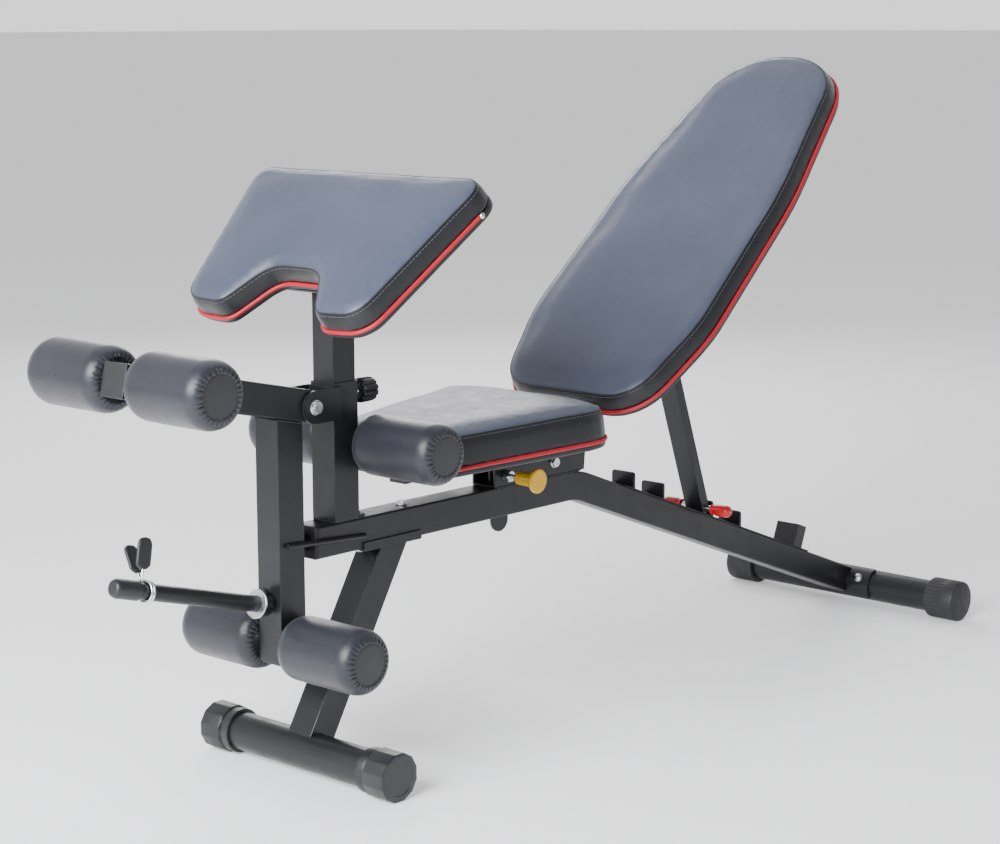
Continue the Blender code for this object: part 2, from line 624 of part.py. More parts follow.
def cushion(name, frame, outline, base, thickness, edge):
    """A padded board in its frame: the board's top is at base and the cushion sits on it."""
    piece(f"{name}_pad", pad_mesh(outline, thickness - GAP, edge), LEATHERETTE, frame, (0, 0, base + GAP))
    board = piece(f"{name}_board", slab_mesh([outline], BOARD, "XY"), DARK_LEATHERETTE, frame,
                  (0, 0, base - BOARD / 2))
    round_edges(board, 0.0025, 1)


def seat():
    """The seat tips up at its front about the pivot bolt; its sector plate drops through the beam."""
    frame = joint_empty("seat_pivot", at(SEAT_PIVOT[0], SEAT_PIVOT[1]), SEAT_RISE)
    front = 0.162 - SEAT_PIVOT[0]
    rear = 0.545 - SEAT_PIVOT[0]
    outline = rounded(mirrored([(front, 0.110, 0.045), (rear, 0.188, 0.055)]))
    cushion("seat", frame, outline, SEAT_BASE + BOARD, SEAT_PAD, 0.018)
    lug = 0.015
    top = SEAT_BASE - GAP
    low = top - 0.022
    bar_front = front + 0.045
    outline = [(bar_front, low), (-lug - 0.010, low)] + arc((0, 0), lug, 190, 360, 12)
    outline += [(lug, top), (bar_front, top)]
    bar = piece("seat_frame", slab_mesh([outline], 0.036), BLACK_STEEL, frame)
    round_edges(bar, 0.002)
    middle = SECTOR_X - SEAT_PIVOT[0]
    tip = 0.3125 - SEAT_PIVOT[1] + SECTOR_HALF
    sector = [(middle + SECTOR_HALF, low + 0.005), (middle - SECTOR_HALF, low + 0.005)]
    sector += arc((middle, tip), SECTOR_HALF, 180, 360, 14)
    join(bar, slab_mesh([sector], 0.004))
    cut(bar, cylinder_mesh(0.0053, 0.1, 16))
    hole = Vector((PIN[0] - SEAT_PIVOT[0], PIN[1] - SEAT_PIVOT[1]))
    hole.rotate(Matrix.Rotation(-SEAT_RISE, 2))
    for _ in range(3):
        cut(bar, cylinder_mesh(0.0046, 0.02, 16), (hole.x, 0, hole.y))
        hole.rotate(Matrix.Rotation(SECTOR_STEP, 2))


def seat_bracket():
    """A channel on the beam whose walls carry the seat's and the backrest's pivots, and the pull pin."""
    base = BEAM_TOP + GAP
    front, rear, top = 0.405, 0.660, 0.100
    channel = [(-BRACKET_OUTER, 0), (BRACKET_OUTER, 0), (BRACKET_OUTER, top), (BRACKET_INNER, top),
               (BRACKET_INNER, 0.003), (-BRACKET_INNER, 0.003), (-BRACKET_INNER, top), (-BRACKET_OUTER, top)]
    bracket = piece("seat_bracket", slab_mesh([channel], rear - front, "YZ"), BLACK_STEEL,
                    location=at((front + rear) / 2, base))
    side = [(front - 0.01, base - 0.01), (0.628, base - 0.01), (0.633, 0.430)]
    side += arc(BACK_PIVOT, 0.016, -20, 150, 12) + [(0.600, 0.440), (0.575, 0.4345), (front - 0.01, 0.4225)]
    cut(bracket, slab_mesh([side], 0.1), at(0, 0), keep=True)
    cut(bracket, sector_slot(), at(SECTOR_X, BEAM_Z))
    for x, z in (SEAT_PIVOT, BACK_PIVOT):
        cut(bracket, cylinder_mesh(0.0053, 0.1, 16), at(x, z))
    cut(bracket, cylinder_mesh(0.0043, 0.02, 16), at(PIN[0], PIN[1], -HALF))
    for name, (x, z) in (("seat_pivot_bolt", SEAT_PIVOT), ("backrest_pivot_bolt", BACK_PIVOT)):
        piece(name, bolt_mesh(2 * (BRACKET_OUTER + GAP), 0.005, 0.0095, 0.006), ZINC, location=at(x, z))


def pull_pin():
    """The yellow knob's pin slides out along -Y through a nut on the bracket's left wall."""
    frame = joint_empty("pull_pin_axis", at(PIN[0], PIN[1]))
    nut_length = 0.0145
    nut = piece("pull_pin_nut", cylinder_mesh(0.0100, nut_length, 6), ZINC, None,
                at(PIN[0], PIN[1], -BRACKET_OUTER - GAP - nut_length / 2))
    cut(nut, cylinder_mesh(0.0043, 0.03, 16), nut.location)
    profile = [(0, 0.100), (0.0185, 0.100), (0.020, 0.0985), (0.020, 0.094), (0.0125, 0.085), (0.0120, 0.058),
               (0.0105, 0.055), (0.004, 0.055), (0.004, 0.0023), (0, 0.0023)]
    piece("pull_pin", turned_mesh(profile, "Y", 32), YELLOW, frame)


def backrest():
    """The backrest's frame: +X up along the back, +Z out of its front face, the pivot at the origin."""
    frame = joint_empty("backrest_pivot", at(BACK_PIVOT[0], BACK_PIVOT[1]), BACK_ANGLE)
    half = [(0.012, 0.150, 0.085), (0.195, 0.193, 0.300), (0.520, 0.184, 0.700), (0.800, 0.135, 0.120),
            (0.862, 0.060, 0.140)]
    outline = rounded(mirrored(half))
    cushion("backrest", frame, outline, BACK_FACE - PAD, PAD, 0.016)
    length = 0.750
    tube = [(length, -BACK_DEEP), (length, BACK_DEEP)] + arc((0, 0), BACK_DEEP, 90, 270, 12)
    bar = piece("backrest_frame", slab_mesh([tube], 2 * BACK_HALF), BLACK_STEEL, frame)
    round_edges(bar, 0.0025)
    head = Vector(PROP_HEAD) - Vector(BACK_PIVOT)
    head.rotate(Matrix.Rotation(-BACK_ANGLE, 2))
    root = -BACK_DEEP + 0.010
    cheek = [(head.x + 0.030, root), (head.x - 0.030, root)] + arc(head, 0.015, 190, 350, 10)
    inner = PROP_HALF + 0.0005
    for side in (-1, 1):
        join(bar, slab_mesh([cheek], 0.004), (0, side * (inner + 0.002), 0))
    start = 0.030
    cut(bar, box_mesh(2 * (length - start), 2 * (BACK_HALF - WALL), 2 * (BACK_DEEP - WALL)), (length, 0, 0))
    cut(bar, cylinder_mesh(0.0053, 0.1, 16))
    cut(bar, cylinder_mesh(0.0043, 0.1, 16), (head.x, 0, head.y))
    outer = inner + 0.004
    piece("prop_pivot_bolt", bolt_mesh(2 * (outer + GAP), 0.004, 0.0080, 0.005), ZINC, location=at(*PROP_HEAD))


def beam_top(x, above=0.0):
    """Height of the beam's sloping rear top at x, or of a line that lies square above it."""
    return BEAM_Z - (x - BEND_X) * math.tan(BEAM_SLOPE) + (HALF + above) / math.cos(BEAM_SLOPE)


def prop():
    """The prop hangs from the backrest's cheeks; the rod through its foot carries two red grips."""
    head = Vector(PROP_HEAD)
    foot_at = Vector((PROP_FOOT_X, beam_top(PROP_FOOT_X, GAP + STRIP + GAP + PROP_END)))
    reach = foot_at - head
    frame = joint_empty("prop_pivot", at(head.x, head.y), math.atan2(reach.y, reach.x))
    length = reach.length
    outline = arc((length, 0), PROP_END, -90, 90, 10) + arc((0, 0), PROP_END, 90, 270, 10)
    bar = piece("prop", slab_mesh([outline], 2 * PROP_HALF), BLACK_STEEL, frame)
    round_edges(bar, 0.002, 1)
    cut(bar, box_mesh(length, 2 * (PROP_HALF - WALL), 2 * (PROP_END - WALL)), (length / 2, 0, 0))
    cut(bar, cylinder_mesh(0.0043, 0.1, 16))
    cut(bar, cylinder_mesh(ROD_R + GAP, 0.1, 24), (length, 0, 0))
    rod = piece("prop_rod", cylinder_mesh(ROD_R, 0.144, 24), ZINC, frame, (length, 0, 0))
    round_edges(rod, 0.001, 1)
    profile = [(0, 0.040), (0.0085, 0.040), (0.011, 0.037), (0.011, 0.002), (0.0095, 0), (ROD_R + GAP, 0),
               (ROD_R + GAP, 0.0383), (0, 0.0383)]
    for name, turn, side in (("prop_grip_left", 0, -1), ("prop_grip_right", math.pi, 1)):
        piece(name, turned_mesh(profile, "Y", 24), RED, frame, (length, side * 0.034, 0), (turn, 0, 0))


def prop_ladder():
    """A strip on the beam's slope with upright tabs for the prop's foot, and a block at its rear end."""
    front, rear = LADDER
    outline = [(front, beam_top(front, GAP)), (front, beam_top(front, GAP + STRIP))]
    for x in LADDER_TABS:
        ahead, behind = x - TAB / 2, x + TAB / 2
        crest = beam_top(x, GAP + STRIP) + TAB_HEIGHT
        outline += [(ahead, beam_top(ahead, GAP + STRIP)), (ahead, crest), (behind, crest),
                    (behind, beam_top(behind, GAP + STRIP))]
    lean = REST_HEIGHT * math.sin(BEAM_SLOPE)
    rise = REST_HEIGHT * math.cos(BEAM_SLOPE)
    low_front, low_rear = beam_top(REST[0], GAP + STRIP), beam_top(REST[1], GAP + STRIP)
    outline += [(REST[0], low_front), (REST[0] + lean, low_front + rise), (REST[1] + lean, low_rear + rise),
                (REST[1], low_rear)]
    outline += [(rear, beam_top(rear, GAP + STRIP)), (rear, beam_top(rear, GAP))]
    mesh = slab_mesh([outline], TUBE)
    bm = bmesh.new()
    bm.from_mesh(mesh)
    bmesh.ops.dissolve_limit(bm, angle_limit=0.01, verts=bm.verts, edges=bm.edges)
    corners = [e for e in bm.edges if abs(abs(e.verts[0].co.x - e.verts[1].co.x) - TAB) < GAP
               and abs(e.verts[0].co.z - e.verts[1].co.z) < GAP]
    bmesh.ops.bevel(bm, geom=corners, offset=TAB_ROUND, segments=3, profile=0.5, affect="EDGES")
    bm.to_mesh(mesh)
    bm.free()
    piece("prop_ladder", mesh, BLACK_STEEL, location=at(0, 0), smooth=False)


def preacher():
    """The post slides in the sleeve; the pad's frame has its origin at the pad's rear top edge."""
    axis = joint_empty("preacher_axis", at(SLEEVE_X, SLEEVE_TOP))
    place = Vector((PREACHER_TOP[0] - SLEEVE_X, 0, PREACHER_TOP[1] - SLEEVE_TOP))
    frame = joint_empty("preacher_pad_frame", place, PREACHER_ANGLE, axis)
    half = [(-0.209, 0.052, 0.045), (-0.292, 0.100, 0.030), (-0.288, 0.190, 0.045), (0.004, 0.252, 0.035)]
    cushion("preacher", frame, rounded(mirrored(half)), -PAD, PAD, 0.016)
    plate = 0.004
    under = PAD + BOARD + GAP + plate / 2
    bottom = POST_BOTTOM - SLEEVE_TOP

    def post_top(x):
        """Height of the plate's middle above the sleeve's top."""
        return place.z + (x - place.x) * math.tan(PREACHER_ANGLE) - under / math.cos(PREACHER_ANGLE)

    outline = [(-POST_HALF, bottom), (POST_HALF, bottom), (POST_HALF, post_top(POST_HALF)),
               (-POST_HALF, post_top(-POST_HALF))]
    post = piece("preacher_post", slab_mesh([outline], 2 * POST_HALF), BLACK_STEEL, axis)
    round_edges(post, 0.0025)
    bore_top = post_top(-POST_HALF) - 0.010
    bore = 2 * (POST_HALF - WALL)
    cut(post, box_mesh(bore, bore, 2 * (bore_top - bottom)), (0, 0, bottom))
    join(post, box_mesh(0.120, 0.100, plate), (0, 0, post_top(0)), (0, -PREACHER_ANGLE, 0))


def lock_knob():
    """The knob's screw bears on the post through the nut on the sleeve."""
    tip = SLEEVE_X + POST_HALF + GAP
    profile = [(0, 0.152), (0.0170, 0.152), (0.0195, 0.149), (0.0195, 0.124), (0.0165, 0.120), (0.0042, 0.120),
               (0.0042, tip), (0, tip)]
    piece("lock_knob", turned_mesh(profile, "X", 32), BLACK_PLASTIC, None, at(0, KNOB_Z))


def main():
    main_beam()
    arm_bumper()
    front_leg()
    foot("front_foot", 0.0, FRONT_FOOT_Z, FRONT_FOOT_HALF, FRONT_FOOT_Z, 8, BLACK_PLASTIC)
    foot("rear_foot", FOOT_X, REAR_FOOT_Z, REAR_FOOT_HALF, REAR_FOOT_Z, 24, RUBBER)
    rear_saddle()
    arm_guide()
    upright()
    lock_knob()
    leg_developer()
    weight_peg()
    spring_collar()
    along = Vector((-math.cos(ARM_RISE), math.sin(ARM_RISE))) * UPPER_BAR + Vector(PIVOT)
    for side_name, side in (("left", -1), ("right", 1)):
        roller(f"seat_roller_{side_name}", *SEAT_BAR, side, 0.035, 0.200, SEAT_ROLLER_R)
        roller(f"upper_roller_{side_name}", along.x, along.y, side, 0.030, 0.189, ROLLER_R)
        roller(f"lower_roller_{side_name}", ARM_X, LOWER_BAR_Z, side, 0.030, 0.189, ROLLER_R)
    seat()
    seat_bracket()
    pull_pin()
    backrest()
    prop()
    prop_ladder()
    preacher()


main()
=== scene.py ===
"""Looks of the adjustable weight bench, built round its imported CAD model.

Metres, in the CAD model's frame: +X from the leg developer to the rear foot, +Z up, a sitter's left is -Y.
"""

import json
import math
from contextlib import contextmanager

import bmesh
import bpy
import numpy as np
from mathutils import Matrix, Vector, noise
from mathutils.bvhtree import BVHTree


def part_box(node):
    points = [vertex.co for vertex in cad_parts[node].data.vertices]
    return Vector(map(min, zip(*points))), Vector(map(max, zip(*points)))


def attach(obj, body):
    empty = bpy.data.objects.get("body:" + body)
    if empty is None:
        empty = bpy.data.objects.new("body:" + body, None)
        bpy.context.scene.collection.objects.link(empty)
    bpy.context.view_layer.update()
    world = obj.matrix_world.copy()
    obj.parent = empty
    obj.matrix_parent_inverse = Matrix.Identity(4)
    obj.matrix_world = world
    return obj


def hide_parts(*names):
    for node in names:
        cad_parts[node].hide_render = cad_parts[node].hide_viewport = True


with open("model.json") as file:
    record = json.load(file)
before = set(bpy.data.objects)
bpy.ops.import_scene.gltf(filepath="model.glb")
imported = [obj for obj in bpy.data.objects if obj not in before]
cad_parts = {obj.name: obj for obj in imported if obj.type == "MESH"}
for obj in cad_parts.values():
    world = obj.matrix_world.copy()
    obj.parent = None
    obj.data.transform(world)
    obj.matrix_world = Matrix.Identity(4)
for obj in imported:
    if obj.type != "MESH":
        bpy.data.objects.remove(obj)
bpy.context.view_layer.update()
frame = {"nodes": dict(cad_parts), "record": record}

SEAT_RISE = math.radians(2.7)        # each pad's slope, up to the rear
BACK_RISE = math.radians(41.1)
PREACHER_RISE = math.radians(41.1)
PEG_RISE = math.radians(15.4)
SEAM_DROP = 0.0085                   # from a pad's top face down to its upper seam
VOXEL = 0.006
SWELL_FRAMES = 20
SHIFT_PASSES = 30                    # of smoothing, so that the taut cover shows no small lumps
PIPING_R = 0.0034
STITCH_PITCH = 0.0065
PREACHER_PIPING_GAP = 0.050          # the preacher pad's piping stops at studs this far from its rear
PLEATS = 30                          # round each end of a foam roller
GOLDEN = 2.399963                    # steps the phase of wrinkles from piece to piece
SIDES = (("left", -1), ("right", 1))
ARM_RISE = math.radians(12.7)        # slope of the developer's upper arm
BEAM_FALL = 0.3245 / 0.849           # of the main beam behind its bend
COLLAR_FROM_TIP = 0.064              # the spring collar's middle from the peg's end


# ---------------- materials

def map_range(tree, source, *limits):
    """A Map Range node from (low, high) to (to_low, to_high), and its output."""
    ramp = tree.nodes.new("ShaderNodeMapRange")
    for socket, value in zip(("From Min", "From Max", "To Min", "To Max"), limits):
        ramp.inputs[socket].default_value = value
    tree.links.new(source, ramp.inputs["Value"])
    return ramp.outputs["Result"]


class Shader:
    """A Principled material whose colour, roughness and bump are wired from object-space textures."""

    def __init__(self, name, colour, roughness, metallic=0.0, **sockets):
        self.material = bpy.data.materials.new(name)
        self.material.use_nodes = True
        self.tree = self.material.node_tree
        self.shader = self.tree.nodes["Principled BSDF"]
        self.shader.inputs["Base Color"].default_value = (*colour, 1)
        self.shader.inputs["Roughness"].default_value = roughness
        self.shader.inputs["Metallic"].default_value = metallic
        for socket, value in sockets.items():
            self.shader.inputs[socket.replace("_", " ")].default_value = value
        self.place = self.node("ShaderNodeTexCoord").outputs["Object"]

    def node(self, kind, **values):
        made = self.tree.nodes.new(kind)
        for key, value in values.items():
            setattr(made, key, value)
        return made

    def link(self, source, target):
        self.tree.links.new(source, target)

    def noise(self, scale, detail=3.0, roughness=0.55, stretch=(1, 1, 1)):
        mapping = self.node("ShaderNodeMapping")
        mapping.inputs["Scale"].default_value = stretch
        self.link(self.place, mapping.inputs["Vector"])
        texture = self.node("ShaderNodeTexNoise")
        texture.inputs["Scale"].default_value = scale
        texture.inputs["Detail"].default_value = detail
        texture.inputs["Roughness"].default_value = roughness
        self.link(mapping.outputs["Vector"], texture.inputs["Vector"])
        return texture.outputs["Fac"]

    def cells(self, scale, feature="DISTANCE_TO_EDGE"):
        texture = self.node("ShaderNodeTexVoronoi", feature=feature)
        texture.inputs["Scale"].default_value = scale
        self.link(self.place, texture.inputs["Vector"])
        return texture.outputs["Distance"]

    def ranged(self, source, *limits):
        return map_range(self.tree, source, *limits)

    def mixed(self, factor, first, second):
        mix = self.node("ShaderNodeMix", data_type="RGBA")
        self.link(factor, mix.inputs["Factor"])
        for socket, value in (("A", first), ("B", second)):
            target = [s for s in mix.inputs if s.name == socket and s.type == "RGBA"][0]
            if isinstance(value, tuple):
                target.default_value = (*value, 1)
            else:
                self.link(value, target)
        return [s for s in mix.outputs if s.type == "RGBA"][0]

    def colour(self, source):
        self.link(source, self.shader.inputs["Base Color"])

    def roughness(self, source):
        self.link(source, self.shader.inputs["Roughness"])

    def bump(self, *layers, normal=None):
        """Layers of (height, distance in metres, strength), each laid over the one before."""
        for height, distance, strength in layers:
            bump = self.node("ShaderNodeBump")
            bump.inputs["Distance"].default_value = distance
            bump.inputs["Strength"].default_value = strength
            self.link(height, bump.inputs["Height"])
            if normal is not None:
                self.link(normal, bump.inputs["Normal"])
            normal = bump.outputs["Normal"]
        self.link(normal, self.shader.inputs["Normal"])

    def edges(self, radius):
        """A mask that rises to 1 on edges, and the softened normal that it comes from."""
        bevel = self.node("ShaderNodeBevel", samples=4)
        bevel.inputs["Radius"].default_value = radius
        geometry = self.node("ShaderNodeNewGeometry")
        dot = self.node("ShaderNodeVectorMath", operation="DOT_PRODUCT")
        self.link(bevel.outputs["Normal"], dot.inputs[0])
        self.link(geometry.outputs["Normal"], dot.inputs[1])
        return self.ranged(dot.outputs["Value"], 0.985, 0.90, 0.0, 1.0), bevel.outputs["Normal"]


def leatherette(name, colour, worn, roughness, painted_shade_side=None):
    """Coated cloth with a pebble grain; a side colour, when given, darkens the side panel below the upper seam, at z
    = 0: painted shade on the side and painted light on the top of one vinyl.
    """
    made = Shader(name, colour, roughness, Sheen_Weight=0.10, Sheen_Roughness=0.45, Specular_IOR_Level=0.38)
    cloudy = made.ranged(made.noise(7.0, 4.0), 0.35, 0.70, 0.0, 1.0)
    top = made.mixed(cloudy, colour, worn)
    if painted_shade_side:
        # painted light and shade: the same vinyl stays lighter above the seam and turns near-black below it
        parts = made.node("ShaderNodeSeparateXYZ")
        made.link(made.place, parts.inputs["Vector"])
        painted_lit_top = made.ranged(parts.outputs["Z"], -0.0004, 0.0004, 0.0, 1.0)
        top = made.mixed(painted_lit_top, painted_shade_side, top)
    pores = made.ranged(made.cells(850.0), 0.0, 0.35, 0.0, 1.0)
    made.colour(made.mixed(made.ranged(pores, 0.0, 0.6, 0.10, 0.0), top, tuple(c * 0.7 for c in colour)))
    scuffs = made.noise(42.0, 6.0, 0.7)
    made.roughness(made.ranged(scuffs, 0.30, 0.75, roughness - 0.09, roughness + 0.12))
    made.bump((made.noise(9.0, 2.0), 0.0020, 0.30), (made.noise(260.0, 4.0), 0.0004, 0.30), (pores, 0.00012, 0.35))
    return made.material


def powder_coat(name, colour, roughness):
    """Baked paint with a fine orange peel, lighter and smoother where edges have rubbed."""
    made = Shader(name, colour, roughness, 0.0, Coat_Weight=0.06, Coat_Roughness=0.30, Specular_IOR_Level=0.32)
    edge, soft = made.edges(0.0012)
    dust = made.ranged(made.noise(14.0, 5.0), 0.45, 0.80, 0.0, 0.35)
    dusty = made.mixed(dust, colour, tuple(c * 1.5 + 0.004 for c in colour))
    rub = made.node("ShaderNodeMath", operation="MULTIPLY")
    made.link(edge, rub.inputs[0])
    made.link(made.ranged(made.noise(60.0, 4.0), 0.45, 0.70, 0.0, 0.45), rub.inputs[1])
    made.colour(made.mixed(rub.outputs["Value"], dusty, (0.10, 0.10, 0.11)))
    made.roughness(made.ranged(made.noise(30.0, 5.0), 0.3, 0.7, roughness - 0.06, roughness + 0.08))
    made.bump((made.noise(1300.0, 2.0), 0.00012, 0.35), (made.noise(180.0, 3.0), 0.00015, 0.25), normal=soft)
    return made.material


def moulded(name, colour, roughness, grain=0.25, grain_scale=1500.0):
    """Moulded plastic or rubber with a spark-eroded grain and light scuffs."""
    made = Shader(name, colour, roughness, Specular_IOR_Level=0.5)
    scuff = made.ranged(made.noise(38.0, 6.0, 0.75), 0.52, 0.80, 0.0, 0.5)
    made.colour(made.mixed(scuff, colour, tuple(min(1.0, c * 1.25 + 0.012) for c in colour)))
    made.roughness(made.ranged(made.noise(55.0, 4.0), 0.3, 0.7, roughness - 0.07, roughness + 0.09))
    made.bump((made.noise(grain_scale, 2.0), 0.0001, grain), (made.noise(70.0, 3.0), 0.0002, 0.12))
    return made.material


def zinc(name, colour, roughness, stretch=(1, 1, 1)):
    """Bright plated steel with a faint spangle and fine drawn lines."""
    made = Shader(name, colour, roughness, 1.0)
    cloudy = made.ranged(made.cells(160.0, "F1"), 0.0, 0.9, 0.0, 1.0)
    made.colour(made.mixed(cloudy, colour, tuple(c * 0.80 for c in colour)))
    made.roughness(made.ranged(made.noise(120.0, 5.0), 0.3, 0.7, roughness - 0.08, roughness + 0.16))
    made.bump((made.noise(900.0, 2.0, stretch=stretch), 0.00008, 0.30))
    return made.material


def woven(name, colour):
    """Thin non-woven dust cover under the boards."""
    made = Shader(name, colour, 0.9, Sheen_Weight=0.3)
    fibres = made.noise(700.0, 5.0, 0.8, stretch=(1, 0.25, 1))
    made.colour(made.mixed(made.ranged(fibres, 0.35, 0.65, 0, 1), colour, tuple(c * 1.9 for c in colour)))
    made.bump((fibres, 0.0003, 0.6), (made.cells(420.0), 0.0002, 0.3))
    return made.material


# painted light and painted reflection: the pad tops take a lighter blue-grey than the near-black sides, though both
# are one vinyl
PAD_TOP_PAINTED_LIGHT = (0.047, 0.055, 0.086)
PAD_SIDE = (0.0085, 0.0088, 0.0100)
STEEL = powder_coat("black_powder_coat", (0.0095, 0.0095, 0.0110), 0.36)
PAD_COVER = leatherette("pad_leatherette_painted_light", PAD_TOP_PAINTED_LIGHT, (0.057, 0.066, 0.102), 0.40, PAD_SIDE)
SIDE_COVER = leatherette("side_leatherette", PAD_SIDE, (0.0120, 0.0124, 0.0145), 0.44)
ROLLER_COVER = leatherette("roller_leatherette", (0.0150, 0.0158, 0.0215), (0.0200, 0.0210, 0.0285), 0.34)
DISC_COVER = leatherette("roller_disc_vinyl", (0.0190, 0.0195, 0.0220), (0.0240, 0.0246, 0.0275), 0.50)
RED_PIPING = moulded("red_piping_vinyl", (0.36, 0.0015, 0.0130), 0.50)
THREAD = moulded("seam_thread", (0.10, 0.105, 0.12), 0.6, 0.6, 3000.0)
DUST_COVER = woven("dust_cover", (0.018, 0.018, 0.020))
BLACK_PLASTIC = moulded("black_plastic", (0.0110, 0.0110, 0.0130), 0.40)
RUBBER = moulded("black_rubber", (0.0130, 0.0130, 0.0140), 0.58, 0.45, 900.0)
YELLOW = moulded("yellow_plastic", (0.70, 0.38, 0.004), 0.28, 0.10)
RED_GRIP = moulded("red_vinyl_grip", (0.52, 0.004, 0.010), 0.26, 0.12)
ZINC = zinc("zinc_plate", (0.72, 0.73, 0.75), 0.26)
TUBE_ZINC = zinc("zinc_tube", (0.66, 0.67, 0.69), 0.24, (1, 0.03, 1))
CHROME_WIRE = zinc("chrome_wire", (0.80, 0.81, 0.83), 0.14)


# ---------------- helpers

@contextmanager
def editing(mesh):
    """The mesh as a BMesh, written back at the end."""
    bm = bmesh.new()
    bm.from_mesh(mesh)
    yield bm
    bm.to_mesh(mesh)
    bm.free()


def mesh_object(name, verts, faces, material, matrix=None, angle=40):
    mesh = bpy.data.meshes.new(name)
    mesh.from_pydata([tuple(v) for v in verts], [], faces)
    with editing(mesh) as bm:
        bmesh.ops.recalc_face_normals(bm, faces=bm.faces)
    return add(name, mesh, material, matrix, angle)


def add(name, mesh, material, matrix=None, angle=40):
    mesh.materials.clear()
    mesh.materials.append(material)
    mesh.shade_smooth()
    mesh.set_sharp_from_angle(angle=math.radians(angle))
    obj = bpy.data.objects.new(name, mesh)
    bpy.context.scene.collection.objects.link(obj)
    if matrix is not None:
        obj.matrix_world = matrix
    return obj


def evaluated_mesh(obj):
    bpy.context.view_layer.update()
    graph = bpy.context.evaluated_depsgraph_get()
    return bpy.data.meshes.new_from_object(obj.evaluated_get(graph))


def measured(node):
    """The CAD node's low corner, high corner and centre."""
    low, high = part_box(node)
    return low, high, (low + high) / 2


def pairs(loop):
    """Each point of a closed loop with the next."""
    return list(zip(loop, loop[1:] + loop[:1]))


def bands(sides, rows, closed=False):
    """The faces that join rows of points, each row a ring of so many sides."""
    return [(i * sides + k, i * sides + (k + 1) % sides, (i + 1) % rows * sides + (k + 1) % sides,
             (i + 1) % rows * sides + k) for i in range(rows if closed else rows - 1) for k in range(sides)]


def apply_modifiers(obj):
    obj.data = evaluated_mesh(obj)
    obj.modifiers.clear()


def revolve(profile, sides, wave=None):
    """Verts and faces of a profile of (radius, height) turned about +Z; wave changes a ring's radius and height."""
    verts, faces, rings = [], [], []
    for i, (radius, height) in enumerate(profile):
        if radius == 0:
            rings.append([len(verts)])
            verts.append(Vector((0, 0, height)))
            continue
        ring = []
        for k in range(sides):
            angle = 2 * math.pi * k / sides
            r, h = (radius, height) if wave is None else wave(angle, i, radius, height)
            ring.append(len(verts))
            verts.append(Vector((r * math.cos(angle), r * math.sin(angle), h)))
        rings.append(ring)
    for low, high in zip(rings, rings[1:]):
        for k in range(sides):
            j = (k + 1) % sides
            if len(low) == 1:
                faces.append((low[0], high[k], high[j]))
            elif len(high) == 1:
                faces.append((low[k], high[0], low[j]))
            else:
                faces.append((low[k], high[k], high[j], low[j]))
    return verts, faces


def aim(origin, direction):
    """A matrix with +Z along a direction, at an origin."""
    matrix = Vector(direction).to_track_quat("Z", "Y").to_matrix().to_4x4()
    matrix.translation = origin
    return matrix


def merge(name, parts, material, matrix=None, angle=40):
    """One mesh object from several (verts, faces) parts."""
    verts, faces = [], []
    for part_verts, part_faces in parts:
        start = len(verts)
        verts += part_verts
        faces += [tuple(start + i for i in face) for face in part_faces]
    return mesh_object(name, verts, faces, material, matrix, angle)


def placed(part, matrix):
    verts, faces = part
    return [matrix @ Vector(v) for v in verts], faces


def tube(points, radius, sides=10, closed=False):
    """Verts and faces of a round tube along points, with flat ends unless it is closed."""
    points = [Vector(p) for p in points]
    count = len(points)
    verts, normal = [], None
    for i, point in enumerate(points):
        ahead = points[(i + 1) % count] if closed or i < count - 1 else point
        behind = points[i - 1] if closed or i > 0 else point
        along = (ahead - behind).normalized()
        normal = along.orthogonal() if normal is None else normal
        normal = (normal - along * normal.dot(along)).normalized()
        across = along.cross(normal)
        for k in range(sides):
            angle = 2 * math.pi * k / sides
            verts.append(point + (normal * math.cos(angle) + across * math.sin(angle)) * radius)
    faces = bands(sides, count, closed)
    if not closed:
        faces += [tuple(range(sides)), tuple(range((count - 1) * sides, count * sides))]
    return verts, faces


def finish_piece(obj, body, slot, *nodes):
    if nodes:
        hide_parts(*nodes)
    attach(obj, body)
    return obj


def turned_piece(name, profile, sides, material, matrix, angle, body, slot, *nodes, wave=None):
    """A finished piece turned about the matrix's +Z."""
    obj = mesh_object(name, *revolve(profile, sides, wave), material, matrix, angle)
    return finish_piece(obj, body, slot, *nodes)


def body_of_node(node):
    return next(body for body, names in frame["record"]["behaviour"]["bodies"].items() if node in names)


# ---------------- the steel frame

def unfold(bm):
    """Close sliver triangles that lie folded back over their neighbours."""
    bm.edges.index_update()
    folds = [e for e in bm.edges if len(e.link_faces) == 2
             and e.link_faces[0].normal.dot(e.link_faces[1].normal) < -0.99]
    slivers = {f for e in folds for f in e.link_faces if len(f.verts) == 3}
    ends = {min(f.edges, key=lambda e: e.calc_length()) for f in slivers}
    if ends:
        bmesh.ops.collapse(bm, edges=sorted(ends, key=lambda e: e.index))


def refined(node, material, slot, bevel=0.0, angle=50):
    """The CAD node's own shape with its faces merged and its edges softened; angle is where shading breaks."""
    mesh = frame["nodes"][node].data.copy()
    with editing(mesh) as bm:
        bmesh.ops.remove_doubles(bm, verts=bm.verts, dist=2e-6)
        bmesh.ops.dissolve_limit(bm, angle_limit=math.radians(0.5), verts=bm.verts, edges=bm.edges)
        unfold(bm)
    obj = add(f"{node}_finished", mesh, material, angle=angle)
    if bevel:
        soften = obj.modifiers.new("soften", "BEVEL")
        soften.width = bevel
        soften.segments = 2
        soften.limit_method = "ANGLE"
        soften.angle_limit = math.radians(50)
        soften.use_clamp_overlap = True
    flat = obj.modifiers.new("flat_faces", "WEIGHTED_NORMAL")
    flat.keep_sharp = True
    flat.weight = 100
    return finish_piece(obj, body_of_node(node), slot, node)


